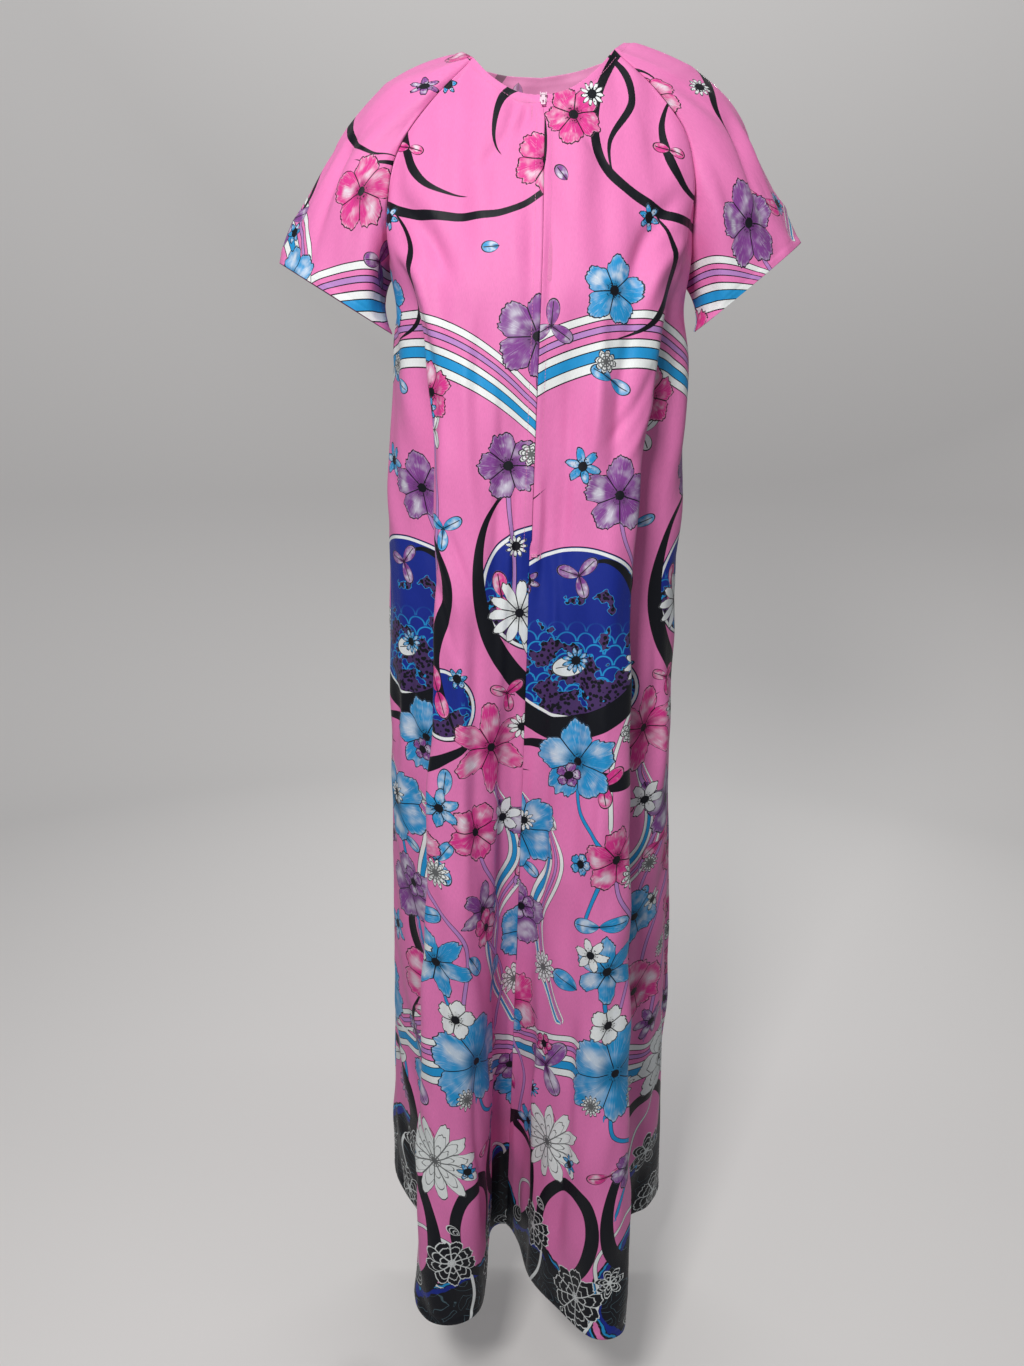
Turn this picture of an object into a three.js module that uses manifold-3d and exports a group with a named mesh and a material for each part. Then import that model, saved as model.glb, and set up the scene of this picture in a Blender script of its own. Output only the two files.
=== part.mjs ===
// A worn, zip-fronted, raglan-sleeved kaftan, held in the hollow form that it takes on a standing figure.
// Millimetres, +Z up. The wearer faces -Y, so the wearer's right side is at -X and the left side at +X.
// The origin is midway between the two neck points, where the shoulders hold the garment.
import * as THREE from 'three';
import { mergeVertices } from 'three/addons/utils/BufferGeometryUtils.js';
import Module from 'manifold-3d';

const wasm = await Module();
wasm.setup();

// Driving dimensions.
const LENGTH = 1370; // neck point to hem
const WALL = 1.2; // cloth
const SEAM_HALF_GAP = 0.15; // each panel stops this far short of a seam
const ZIP_HALF_GAP = 1.6; // each front edge stops this far short of the middle of the zip
const ZIP_END_Z = -480; // bottom of the zip opening, where the centre front seam starts
const UNDERARM_Z = -216;
const HIP_Z = -560;
const FOLD_START_Z = -185; // above this the body cloth lies smooth on its form
const STEPS_PER_FOLD = 2; // mesh columns between two rows of the fold table
const ROWS_BY_ZIP = 11;
const ROWS_BELOW_ZIP = 15;
const SLEEVE_ROWS = 8;

// The smooth form under the folds, one row for each height.
const SECTIONS = [
  { z: -1370, right: 160, left: 184, front: 150, back: 112 },
  { z: -1000, right: 151, left: 174, front: 140, back: 112 },
  { z: -720, right: 150, left: 163, front: 132, back: 118 },
  { z: -620, right: 160, left: 161, front: 129, back: 118 },
  { z: -500, right: 155, left: 160, front: 126, back: 106 },
  { z: -400, right: 149, left: 160, front: 125, back: 98 },
  { z: -310, right: 147, left: 158, front: 128, back: 103 },
  { z: -250, right: 150, left: 156, front: 127, back: 108 },
  { z: -205, right: 161, left: 163, front: 120, back: 110 },
  { z: -150, right: 165, left: 166, front: 107, back: 110 },
  { z: -100, right: 155, left: 155, front: 92, back: 103 },
  { z: -60, right: 130, left: 130, front: 76, back: 94 },
  { z: -20, right: 104, left: 104, front: 60, back: 80 },
  { z: 10, right: 90, left: 90, front: 48, back: 72 },
];
const FRONT_SQUARENESS = 2.5; // superellipse exponents: 2 is an ellipse, more is squarer
const BACK_SQUARENESS = 2.9;

// The folds, one row for each ridge or valley, going round from the centre front by the wearer's right
// side. "around" is the bearing in degrees on the smooth form; the rest is where the cloth stands in plan.
const FOLDS = [
  { around: 0, hipX: -5, hipY: -119, hemX: -16, hemY: -14 }, // centre front, in the deep middle valley
  { around: 8, hipX: -22, hipY: -121, hemX: -36, hemY: -26 },
  { around: 16, hipX: -40, hipY: -128, hemX: -39, hemY: -88 },
  { around: 25, hipX: -58, hipY: -132, hemX: -45, hemY: -146 },
  { around: 34, hipX: -77, hipY: -132, hemX: -72, hemY: -169 }, // right front tube, and the neck corner
  { around: 41, hipX: -94, hipY: -124, hemX: -106, hemY: -163 },
  { around: 48, hipX: -101, hipY: -106, hemX: -123, hemY: -124 }, // outer edge of the right front tube
  { around: 56, hipX: -82, hipY: -74, hemX: -98, hemY: -58 }, // valley hidden behind it
  { around: 66, hipX: -116, hipY: -55, hemX: -128, hemY: 0 },
  { around: 78, hipX: -147, hipY: -30, hemX: -150, hemY: 36 },
  { around: 90, hipX: -159, hipY: 8, hemX: -168, hemY: 74 }, // right side seam
  { around: 102, hipX: -152, hipY: 42, hemX: -170, hemY: 100 },
  { around: 114, hipX: -132, hipY: 72, hemX: -147, hemY: 114 },
  { around: 126, hipX: -106, hipY: 91, hemX: -119, hemY: 104 },
  { around: 138, hipX: -80, hipY: 100, hemX: -92, hemY: 91 }, // right back neck corner
  { around: 152, hipX: -53, hipY: 103, hemX: -63, hemY: 98 },
  { around: 166, hipX: -27, hipY: 109, hemX: -33, hemY: 115 },
  { around: 180, hipX: 0, hipY: 112, hemX: -2, hemY: 120 }, // centre back
  { around: 194, hipX: 27, hipY: 109, hemX: 28, hemY: 108 },
  { around: 208, hipX: 54, hipY: 103, hemX: 58, hemY: 92 },
  { around: 222, hipX: 82, hipY: 100, hemX: 89, hemY: 95 }, // left back neck corner
  { around: 234, hipX: 108, hipY: 91, hemX: 118, hemY: 110 },
  { around: 246, hipX: 134, hipY: 74, hemX: 149, hemY: 118 },
  { around: 258, hipX: 155, hipY: 46, hemX: 183, hemY: 103 },
  { around: 270, hipX: 161, hipY: 10, hemX: 193, hemY: 64 }, // left side seam
  { around: 282, hipX: 154, hipY: -28, hemX: 172, hemY: 22 },
  { around: 294, hipX: 124, hipY: -54, hemX: 142, hemY: 0 },
  { around: 304, hipX: 84, hipY: -72, hemX: 104, hemY: -62 }, // valley hidden behind the left front tube
  { around: 312, hipX: 101, hipY: -106, hemX: 123, hemY: -132 },
  { around: 319, hipX: 96, hipY: -123, hemX: 119, hemY: -176 }, // outer edge of the left front tube
  { around: 326, hipX: 78, hipY: -131, hemX: 84, hemY: -184 },
  { around: 335, hipX: 56, hipY: -130, hemX: 46, hemY: -144 },
  { around: 344, hipX: 34, hipY: -124, hemX: 14, hemY: -100 },
  { around: 352, hipX: 13, hipY: -119, hemX: 0, hemY: -44 },
];
const FRONT_CORNER = 4; // fold rows between the centre front and the neck end of a raglan seam
const SIDE_SEAM = 10; // fold rows between the centre front and a side seam
const BACK_CORNER = 14;
const CENTRE_BACK = 17;
const AROUND = FOLDS.length;

// The neckline and the raglan seams of one side, +X outwards. "row" is the place in the fold table.
const NECK_FRONT = [
  { row: 0, x: 0, y: -76, z: -62 },
  { row: 1.4, x: 25, y: -73, z: -56 },
  { row: 2.8, x: 49, y: -63, z: -39 },
  { row: 4, x: 67, y: -49, z: -18 },
];
const RAGLAN_FRONT = [
  { row: 4, x: 67, y: -49, z: -18 },
  { row: 5, x: 107, y: -58, z: -56 },
  { row: 6, x: 138, y: -62, z: -98 },
  { row: 7, x: 148, y: -62, z: -142 },
  { row: 8.2, x: 150, y: -46, z: -184 },
  { row: 10, x: 149, y: -6, z: UNDERARM_Z },
];
const NECK_SIDE = [
  { at: 0, x: 67, y: -49, z: -18 },
  { at: 0.45, x: 80, y: -8, z: 0 },
  { at: 0.75, x: 76, y: 26, z: 4 },
  { at: 1, x: 64, y: 52, z: 2 },
];
const RAGLAN_BACK = [
  { row: 10, x: 149, y: -6, z: UNDERARM_Z },
  { row: 11.6, x: 151, y: 40, z: -190 },
  { row: 12.6, x: 150, y: 64, z: -142 },
  { row: 13.1, x: 138, y: 70, z: -94 },
  { row: 13.6, x: 104, y: 65, z: -42 },
  { row: 14, x: 64, y: 52, z: 2 },
];
const NECK_BACK = [
  { row: 14, x: 64, y: 52, z: 2 },
  { row: 15.4, x: 36, y: 66, z: -1 },
  { row: 17, x: 0, y: 72, z: -3 },
];

// The two sleeves: the middle, tilt and half sizes of each open cuff.
const SLEEVES = [
  { name: 'sleeve_right', side: -1, cuffX: 209, cuffY: -14, cuffZ: -237, tilt: 30.5, across: 69, deep: 46, square: 0.95 },
  { name: 'sleeve_left', side: 1, cuffX: 216, cuffY: -12, cuffZ: -219, tilt: 40, across: 71, deep: 46, square: 1.28 },
];
const CUFF_SKEW = 16; // how far forward the underarm end of a cuff stands, and how far back its top
const CUFF_DROP = 8; // degrees by which the cloth at a cuff hangs steeper than the arm
const SHOULDER_TILT = 0.066; // the left shoulder is the higher one: rise for each millimetre to +X
const SLEEVE_FRONT_CORNER = 0.38; // shares of the way round a sleeve, from the underarm by the front
const SLEEVE_BACK_CORNER = 0.62;
const SLEEVE_NECK_STEPS = 6;
// How the sleeve cloth leaves its seams, one row for each share of the way round, and how far it then runs
// straight along the arm at the cuff.
const SLEEVE_STARTS = [
  { at: 0, x: 0.72, y: 0, z: -0.69, pull: 1.0, run: 0.85 },
  { at: 0.1, x: 0.72, y: -0.3, z: -0.62, pull: 1.0, run: 0.85 },
  { at: 0.2, x: 0.76, y: -0.3, z: -0.58, pull: 1.05, run: 0.9 },
  { at: 0.3, x: 0.88, y: -0.14, z: -0.45, pull: 1.2, run: 1.1 },
  { at: 0.38, x: 0.96, y: -0.05, z: -0.26, pull: 1.3, run: 1.25 },
  { at: 0.5, x: 0.985, y: 0, z: -0.17, pull: 1.33, run: 1.3 },
  { at: 0.62, x: 0.96, y: 0.05, z: -0.26, pull: 1.3, run: 1.25 },
  { at: 0.7, x: 0.88, y: 0.14, z: -0.45, pull: 1.2, run: 1.1 },
  { at: 0.8, x: 0.76, y: 0.3, z: -0.58, pull: 1.05, run: 0.9 },
  { at: 0.9, x: 0.72, y: 0.3, z: -0.62, pull: 1.0, run: 0.85 },
  { at: 1, x: 0.72, y: 0, z: -0.69, pull: 1.0, run: 0.85 },
];

// The zip.
const TAPE_WIDTH = 11; // each side
const TAPE_WALL = 0.8;
const LAYER_GAP = 0.3;
const COIL = { width: 2.4, depth: 1.4 };
const SLIDER = { width: 6.2, length: 8.4, depth: 1.9, topZ: -61 };
const EAR = { wall: 0.8, height: 3, reach: 3 };
const PIN = { radius: 0.5, standOff: 1.9 };
const TAB = { width: 4, length: 10.5, wall: 0.9, eyeWidth: 3.2, eyeRadius: 1.35, eyeHole: 0.8, slot: 1.5 };

const clamp01 = (t) => Math.min(1, Math.max(0, t));
const ease = (t) => clamp01(t) ** 2 * (3 - 2 * clamp01(t));
const vector = ([x, y, z]) => new THREE.Vector3(x, y, z);

// Monotone cubic through one column of a table, so that nothing overshoots between its rows.
function tableAt(rows, by, column, at) {
  const n = rows.length;
  const slopes = rows.slice(1).map((r, i) => (r[column] - rows[i][column]) / (r[by] - rows[i][by]));
  const tangent = (i) => {
    if (i === 0) return slopes[0];
    if (i === n - 1) return slopes[n - 2];
    const [a, b] = [slopes[i - 1], slopes[i]];
    return a * b <= 0 ? 0 : (2 * a * b) / (a + b);
  };
  const t = Math.min(rows[n - 1][by], Math.max(rows[0][by], at));
  let i = 0;
  while (i < n - 2 && t > rows[i + 1][by]) i++;
  const step = rows[i + 1][by] - rows[i][by];
  const s = (t - rows[i][by]) / step;
  return hermite(rows[i][column], tangent(i) * step, rows[i + 1][column], tangent(i + 1) * step, s);
}

// Smooth curve through the rows of a table of points, a corner-free Catmull-Rom by the given column.
function curveAt(rows, by, at) {
  const n = rows.length;
  const t = Math.min(rows[n - 1][by], Math.max(rows[0][by], at));
  let i = 0;
  while (i < n - 2 && t > rows[i + 1][by]) i++;
  const step = rows[i + 1][by] - rows[i][by];
  const slope = (j, key) => {
    const [a, b] = [rows[Math.max(0, j - 1)], rows[Math.min(n - 1, j + 1)]];
    return (b[key] - a[key]) / (b[by] - a[by]);
  };
  return ['x', 'y', 'z'].map((key) =>
    hermite(rows[i][key], slope(i, key) * step, rows[i + 1][key], slope(i + 1, key) * step, (t - rows[i][by]) / step)
  );
}

function hermite(a, tangentA, b, tangentB, s) {
  const [s2, s3] = [s * s, s * s * s];
  return (2 * s3 - 3 * s2 + 1) * a + (s3 - 2 * s2 + s) * tangentA + (3 * s2 - 2 * s3) * b + (s3 - s2) * tangentB;
}

const SECTIONS_UP = [...SECTIONS].sort((a, b) => a.z - b.z);
const FOLD_ROWS = FOLDS.map((fold, row) => ({ ...fold, row })).concat({ ...FOLDS[0], around: 360, row: AROUND });

// Where the smooth form stands in plan, at a bearing and height.
function form(around, z) {
  const side = around <= 180 ? 'right' : 'left';
  const [sin, cos] = [Math.sin((around * Math.PI) / 180), Math.cos((around * Math.PI) / 180)];
  const power = 2 / (cos > 0 ? FRONT_SQUARENESS : BACK_SQUARENESS);
  const depth = tableAt(SECTIONS_UP, 'z', cos > 0 ? 'front' : 'back', z);
  const x = -Math.sign(sin) * tableAt(SECTIONS_UP, 'z', side, z) * Math.abs(sin) ** power;
  return [x, -Math.sign(cos) * depth * Math.abs(cos) ** power];
}

// Where the folded cloth stands in plan at one of the fold table's two heights, at any place between its rows.
function foldedPlan(row, level) {
  const at = ((row % AROUND) + AROUND) % AROUND;
  const i = Math.floor(at);
  const near = [-1, 0, 1, 2].map((d) => FOLDS[(i + d + AROUND) % AROUND]);
  return ['X', 'Y'].map((axis) => {
    const [before, a, b, after] = near.map((fold) => fold[level + axis]);
    return hermite(a, (b - before) / 2, b, (after - a) / 2, at - i);
  });
}

// The body cloth before it meets the neckline and the raglan seams: smooth at the chest, folded to the hem.
function bodyForm(row, z) {
  const wrapped = ((row % AROUND) + AROUND) % AROUND;
  const smooth = form(tableAt(FOLD_ROWS, 'row', 'around', wrapped), z);
  const hip = foldedPlan(row, 'hip');
  const hem = foldedPlan(row, 'hem');
  const toHip = clamp01((FOLD_START_Z - z) / (FOLD_START_Z - HIP_Z)) ** 0.8;
  const toHem = clamp01((HIP_Z - z) / (HIP_Z + LENGTH)) ** 1.1;
  return [0, 1].map((i) => {
    const upper = smooth[i] + (hip[i] - smooth[i]) * ease(toHip);
    return upper + (hem[i] - hip[i]) * toHem;
  });
}

// The upper edge of the body cloth, which is neckline, raglan seam or both, at a place in the fold table.
function topEdge(row) {
  const wrapped = ((row % AROUND) + AROUND) % AROUND;
  const left = wrapped > CENTRE_BACK;
  const at = left ? AROUND - wrapped : wrapped;
  let rows = NECK_BACK;
  if (at < BACK_CORNER) rows = RAGLAN_BACK;
  if (at < SIDE_SEAM) rows = RAGLAN_FRONT;
  if (at < FRONT_CORNER) rows = NECK_FRONT;
  return tilted(curveAt(rows, 'row', at), left ? 1 : -1);
}

// A point of the +X side's seam tables, on its own side and with the shoulders' tilt.
function tilted([x, y, z], side) {
  return [side * x, y, z + SHOULDER_TILT * side * x * ease((z - UNDERARM_Z) / 130)];
}

// The body cloth, at a place in the fold table and a share of the way down from its upper edge to the hem.
function body(row, share) {
  const top = topEdge(row);
  const z = top[2] + (-LENGTH - top[2]) * share;
  const plan = bodyForm(row, z);
  const planAtTop = bodyForm(row, top[2]);
  const reach = Math.max(90, top[2] + 290);
  const pull = 1 - ease((top[2] - z) / reach);
  return [plan[0] + (top[0] - planAtTop[0]) * pull, plan[1] + (top[1] - planAtTop[1]) * pull, z];
}

// The upper edge of a +X sleeve: up the front raglan seam, round the neck, and down the back raglan seam.
function sleeveTop(at) {
  if (at < SLEEVE_FRONT_CORNER) {
    const row = SIDE_SEAM + ((FRONT_CORNER - SIDE_SEAM) * at) / SLEEVE_FRONT_CORNER;
    return curveAt(RAGLAN_FRONT, 'row', row);
  }
  if (at > SLEEVE_BACK_CORNER) {
    const down = (at - SLEEVE_BACK_CORNER) / (1 - SLEEVE_BACK_CORNER);
    return curveAt(RAGLAN_BACK, 'row', BACK_CORNER + (SIDE_SEAM - BACK_CORNER) * down);
  }
  return curveAt(NECK_SIDE, 'at', (at - SLEEVE_FRONT_CORNER) / (SLEEVE_BACK_CORNER - SLEEVE_FRONT_CORNER));
}

// The sleeve cloth, at a share of the way round and of the way from its seams to the cuff.
function sleeve(sizes, at, share) {
  const { side, across, deep } = sizes;
  const [tilt, drop] = [sizes.tilt, sizes.tilt - CUFF_DROP].map((angle) => (angle * Math.PI) / 180);
  const turn = 2 * Math.PI * at;
  const inward = across * Math.cos(turn);
  const start = tilted(sleeveTop(at), side);
  const end = [
    side * (sizes.cuffX - inward * Math.cos(tilt)),
    sizes.cuffY - deep * Math.sin(turn) - CUFF_SKEW * Math.cos(turn),
    sizes.cuffZ - inward * Math.sin(tilt),
  ];
  const length = Math.hypot(...end.map((e, i) => e - start[i]));
  const top = Math.max(0, -Math.cos(turn));
  const pull = length * tableAt(SLEEVE_STARTS, 'at', 'pull', at) * (1 + (sizes.square - 1) * top);
  const away = ['x', 'y', 'z'].map((key) => pull * tableAt(SLEEVE_STARTS, 'at', key, at));
  away[0] *= side;
  const run = length * tableAt(SLEEVE_STARTS, 'at', 'run', at);
  const outward = Math.sin(drop) - 0.75 * Math.max(0, Math.cos(turn)) ** 2; // the underarm turns back in
  const along = [side * run * outward, 0, -run * Math.cos(drop)];
  return start.map((s, i) => hermite(s, away[i], end[i], along[i], share));
}

// Outward unit normal of a cloth function of two shares, by small differences kept inside its range.
function normalOf(cloth, u, v, [u0, u1], flip = 1) {
  const [du, dv] = [(u1 - u0) * 1e-3, 1e-3];
  const [ua, ub] = [Math.max(u0, u - du), Math.min(u1, u + du)];
  const [va, vb] = [Math.max(0, v - dv), Math.min(1, v + dv)];
  const across = vector(cloth(ub, v)).sub(vector(cloth(ua, v)));
  const down = vector(cloth(u, vb)).sub(vector(cloth(u, va)));
  return down.cross(across).normalize().multiplyScalar(flip);
}

const bodyNormal = (row, share) => {
  const corner = [FRONT_CORNER, SIDE_SEAM, BACK_CORNER, AROUND - FRONT_CORNER, AROUND - SIDE_SEAM, AROUND - BACK_CORNER];
  const sides = corner.includes(row) && share < 0.02 ? [row - 0.02, row + 0.02] : [row];
  const sum = new THREE.Vector3();
  sides.forEach((side) => sum.add(normalOf(body, side, share, [-1, AROUND + 1], -1)));
  return sum.normalize();
};
const sleeveNormal = (sizes, at, share) => {
  const cloth = (a, s) => sleeve(sizes, a, s);
  if (at === 0 || at === 1) {
    const ends = [0, 1].map((end) => normalOf(cloth, end, share, [0, 1], sizes.side));
    return ends[0].add(ends[1]).normalize();
  }
  return normalOf(cloth, at, share, [0, 1], sizes.side);
};

// The same seam has one normal on both of its panels, so that their edges stay parallel and apart.
function seamNormal(sizes, at, row) {
  return bodyNormal(row, 0).add(sleeveNormal(sizes, at, 0)).normalize();
}

// A closed wall from a grid of outer points and normals. Columns go round, rows go down.
// "trims" says how far the first and last column stop short at a point, and, for a column whose top is
// on a seam, between which two columns' tops that seam runs past it.
function wallGeometry(points, normals, trims, wall = WALL) {
  const [rows, columns] = [points.length, points[0].length];
  const inner = points.map((line, j) => line.map((p, i) => p.clone().addScaledVector(normals[j][i], -wall)));
  const trimmed = (grid) => {
    const moved = grid.map((line) => line.map((p) => p.clone()));
    const shift = (j, i, toJ, toI, by) => {
      const way = grid[toJ][toI].clone().sub(grid[j][i]).normalize();
      moved[j][i].addScaledVector(way, by);
    };
    for (let j = 0; j < rows; j++) {
      shift(j, 0, j, 1, trims.first(grid[j][0]));
      shift(j, columns - 1, j, columns - 2, trims.last(grid[j][columns - 1]));
    }
    for (let i = 0; i < columns; i++) {
      const along = trims.top(i);
      if (!along) continue;
      const tangent = points[0][along[1]].clone().sub(points[0][along[0]]);
      const inward = tangent.cross(normals[0][i]).normalize();
      const down = points[1][i].clone().sub(points[0][i]);
      moved[0][i].addScaledVector(inward, SEAM_HALF_GAP * Math.sign(inward.dot(down)));
    }
    return moved;
  };
  const position = [];
  const quad = (a, b, c, d) => [a, b, c, a, c, d].forEach((p) => position.push(p.x, p.y, p.z));
  const [out, into] = [trimmed(points), trimmed(inner)];
  for (let j = 0; j + 1 < rows; j++) {
    for (let i = 0; i + 1 < columns; i++) {
      quad(out[j][i], out[j + 1][i], out[j + 1][i + 1], out[j][i + 1]);
      quad(into[j][i], into[j][i + 1], into[j + 1][i + 1], into[j + 1][i]);
    }
    quad(out[j][0], into[j][0], into[j + 1][0], out[j + 1][0]);
    const e = columns - 1;
    quad(out[j][e], out[j + 1][e], into[j + 1][e], into[j][e]);
  }
  for (let i = 0; i + 1 < columns; i++) {
    quad(out[0][i], out[0][i + 1], into[0][i + 1], into[0][i]);
    const e = rows - 1;
    quad(out[e][i], into[e][i], into[e][i + 1], out[e][i + 1]);
  }
  return facingOut(new THREE.BufferGeometry().setAttribute('position', new THREE.Float32BufferAttribute(position, 3)));
}

// Turns a closed geometry's faces outwards if they point in.
function facingOut(geometry) {
  const p = geometry.getAttribute('position').array;
  let volume = 0;
  for (let i = 0; i < p.length; i += 9) {
    const [a, b, c] = [0, 3, 6].map((d) => new THREE.Vector3(p[i + d], p[i + d + 1], p[i + d + 2]));
    volume += a.dot(b.cross(c));
  }
  if (volume < 0) {
    for (let i = 0; i < p.length; i += 9) {
      for (let d = 0; d < 3; d++) [p[i + 3 + d], p[i + 6 + d]] = [p[i + 6 + d], p[i + 3 + d]];
    }
  }
  geometry.computeVertexNormals();
  return geometry;
}

const cloth = new THREE.MeshStandardMaterial({ color: 0xe07ab4, roughness: 0.62, metalness: 0 });
const tape = new THREE.MeshStandardMaterial({ color: 0xd886b4, roughness: 0.8, metalness: 0 });
const plastic = new THREE.MeshStandardMaterial({ color: 0xe6b4cf, roughness: 0.4, metalness: 0 });
const enamel = new THREE.MeshStandardMaterial({ color: 0xf0dbe6, roughness: 0.3, metalness: 0.4 });

function named(name, geometry, material) {
  const mesh = new THREE.Mesh(geometry, material);
  mesh.name = name;
  return mesh;
}

// Shares of the way down the body at which it has mesh rows, two of them close together at the end of the zip.
const ZIP_SHARE = (topEdge(0)[2] - ZIP_END_Z) / (topEdge(0)[2] + LENGTH);
const BODY_SHARES = [
  ...Array.from({ length: ROWS_BY_ZIP }, (_, j) => ZIP_SHARE * (j / (ROWS_BY_ZIP - 1))),
  ...Array.from({ length: ROWS_BELOW_ZIP }, (_, j) => ZIP_SHARE + 0.003 + (1 - ZIP_SHARE - 0.003) * (j / (ROWS_BELOW_ZIP - 1))),
];
const SLEEVE_SHARES = Array.from({ length: SLEEVE_ROWS }, (_, j) => j / (SLEEVE_ROWS - 1));

// The share of the way round the sleeve that meets a place in the fold table, for one side's rows 4 to 14.
function sleeveShare(row) {
  if (row <= SIDE_SEAM) return (SLEEVE_FRONT_CORNER * (SIDE_SEAM - row)) / (SIDE_SEAM - FRONT_CORNER);
  return 1 - ((1 - SLEEVE_BACK_CORNER) * (row - SIDE_SEAM)) / (BACK_CORNER - SIDE_SEAM);
}

// The columns on each side of one whose top is on a seam, kept to those whose tops are on it too.
function seamSpan(onSeam, i) {
  if (!onSeam[i]) return null;
  return [onSeam[i - 1] ? i - 1 : i, onSeam[i + 1] ? i + 1 : i];
}

// One body panel, from one place in the fold table to another.
function bodyPanel(name, from, to) {
  const count = Math.round((to - from) * STEPS_PER_FOLD) + 1;
  const places = Array.from({ length: count }, (_, i) => from + i / STEPS_PER_FOLD);
  const onSeam = (row) => {
    const wrapped = ((row % AROUND) + AROUND) % AROUND;
    const at = wrapped > CENTRE_BACK ? AROUND - wrapped : wrapped;
    return at >= FRONT_CORNER && at <= BACK_CORNER ? at : null;
  };
  const points = BODY_SHARES.map((share) => places.map((row) => vector(body(row, share))));
  const normals = BODY_SHARES.map((share, j) =>
    places.map((row) => {
      const seamAt = j === 0 ? onSeam(row) : null;
      if (seamAt === null) return bodyNormal(row, share);
      const wrapped = ((row % AROUND) + AROUND) % AROUND;
      return seamNormal(wrapped > CENTRE_BACK ? SLEEVES[1] : SLEEVES[0], sleeveShare(seamAt), row);
    })
  );
  const centreTrim = (p) => (p.z > ZIP_END_Z - 1 ? ZIP_HALF_GAP : SEAM_HALF_GAP);
  const trims = {
    first: (p) => (from % AROUND === 0 ? centreTrim(p) : SEAM_HALF_GAP),
    last: (p) => (to % AROUND === 0 ? centreTrim(p) : SEAM_HALF_GAP),
    top: (i) => seamSpan(places.map((row) => onSeam(row) !== null), i),
  };
  return named(name, wallGeometry(points, normals, trims), cloth);
}

// One sleeve, open at the cuff, closed by its underarm seam.
function sleevePanel(sizes) {
  const frontRows = (SIDE_SEAM - FRONT_CORNER) * STEPS_PER_FOLD;
  const backRows = (BACK_CORNER - SIDE_SEAM) * STEPS_PER_FOLD;
  const places = [];
  for (let i = 0; i < frontRows; i++) places.push({ row: SIDE_SEAM - i / STEPS_PER_FOLD });
  for (let i = 0; i <= SLEEVE_NECK_STEPS; i++) {
    const share = i / SLEEVE_NECK_STEPS;
    places.push({ at: SLEEVE_FRONT_CORNER + (SLEEVE_BACK_CORNER - SLEEVE_FRONT_CORNER) * share });
  }
  for (let i = 1; i <= backRows; i++) places.push({ row: BACK_CORNER - i / STEPS_PER_FOLD });
  places.forEach((place, i) => {
    if (place.row !== undefined) place.at = sleeveShare(place.row);
    if (i === 0) place.at = 0;
    if (i === places.length - 1) place.at = 1;
    if (i === frontRows) place.row = FRONT_CORNER;
    if (i === frontRows + SLEEVE_NECK_STEPS) place.row = BACK_CORNER;
  });
  const points = SLEEVE_SHARES.map((share) => places.map(({ at }) => vector(sleeve(sizes, at, share))));
  const normals = SLEEVE_SHARES.map((share, j) =>
    places.map(({ at, row }) => {
      if (j === 0 && row !== undefined) return seamNormal(sizes, at, sizes.side > 0 ? AROUND - row : row);
      return sleeveNormal(sizes, at, share);
    })
  );
  const trims = {
    first: () => SEAM_HALF_GAP,
    last: () => SEAM_HALF_GAP,
    top: (i) => seamSpan(places.map(({ row }) => row !== undefined), i),
  };
  return named(sizes.name, wallGeometry(points, normals, trims), cloth);
}

// A point beside the centre front, on the flat faces between the front panels' own mesh points, at a number
// of millimetres to +X of the centre front and a height; with the normal there.
function besideCentre(offset, z) {
  const topZ = topEdge(0)[2];
  const share = Math.max(0, (topZ - z) / (topZ + LENGTH));
  let j = 0;
  while (j < BODY_SHARES.length - 2 && share > BODY_SHARES[j + 1]) j++;
  const down = (share - BODY_SHARES[j]) / (BODY_SHARES[j + 1] - BODY_SHARES[j]);
  const sideRow = (offset < 0 ? 1 : -1) / STEPS_PER_FOLD;
  const line = [0, sideRow].map((row) => {
    const ends = [BODY_SHARES[j], BODY_SHARES[j + 1]];
    const [upper, lower] = ends.map((s) => ({ point: vector(body(row, s)), normal: bodyNormal(row, s) }));
    return { point: upper.point.lerp(lower.point, down), normal: upper.normal.lerp(lower.normal, down) };
  });
  const across = Math.abs(offset / (line[1].point.x - line[0].point.x));
  return { point: line[0].point.lerp(line[1].point, across), normal: line[0].normal.lerp(line[1].normal, across) };
}

// A long strip along the zip, between two distances from its middle, its outer face a depth under the cloth's.
function zipStrip(name, x0, x1, depth, wall, topZ, endZ, material) {
  const topOfCloth = topEdge(0)[2];
  const inside = BODY_SHARES.map((share) => topOfCloth - share * (topOfCloth + LENGTH));
  const heights = [topZ, ...inside.filter((z) => z < topZ - 4 && z > endZ + 4), endZ];
  const grid = heights.map((z) => [x0, x1].map((x) => besideCentre(x, z)));
  const points = grid.map((line) => line.map(({ point, normal }) => point.clone().addScaledVector(normal, -depth)));
  const normals = grid.map((line) => line.map(({ normal }) => normal));
  const none = { first: () => 0, last: () => 0, top: () => null };
  return named(name, wallGeometry(points, normals, none, wall), material);
}

// A closed three.js geometry as a solid that can be joined and cut, placed by a matrix.
function solid(geometry, matrix = new THREE.Matrix4()) {
  const bare = geometry.clone().applyMatrix4(matrix);
  bare.deleteAttribute('normal');
  bare.deleteAttribute('uv');
  const merged = mergeVertices(bare, 1e-4);
  return new wasm.Manifold(
    new wasm.Mesh({
      numProp: 3,
      vertProperties: merged.getAttribute('position').array,
      triVerts: new Uint32Array(merged.index.array),
    })
  );
}

function geometryOf(manifold) {
  const { vertProperties, triVerts } = manifold.getMesh();
  const geometry = new THREE.BufferGeometry().setAttribute('position', new THREE.BufferAttribute(vertProperties, 3));
  geometry.setIndex(new THREE.BufferAttribute(triVerts, 1));
  const flat = geometry.toNonIndexed();
  flat.computeVertexNormals();
  return flat;
}

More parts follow.
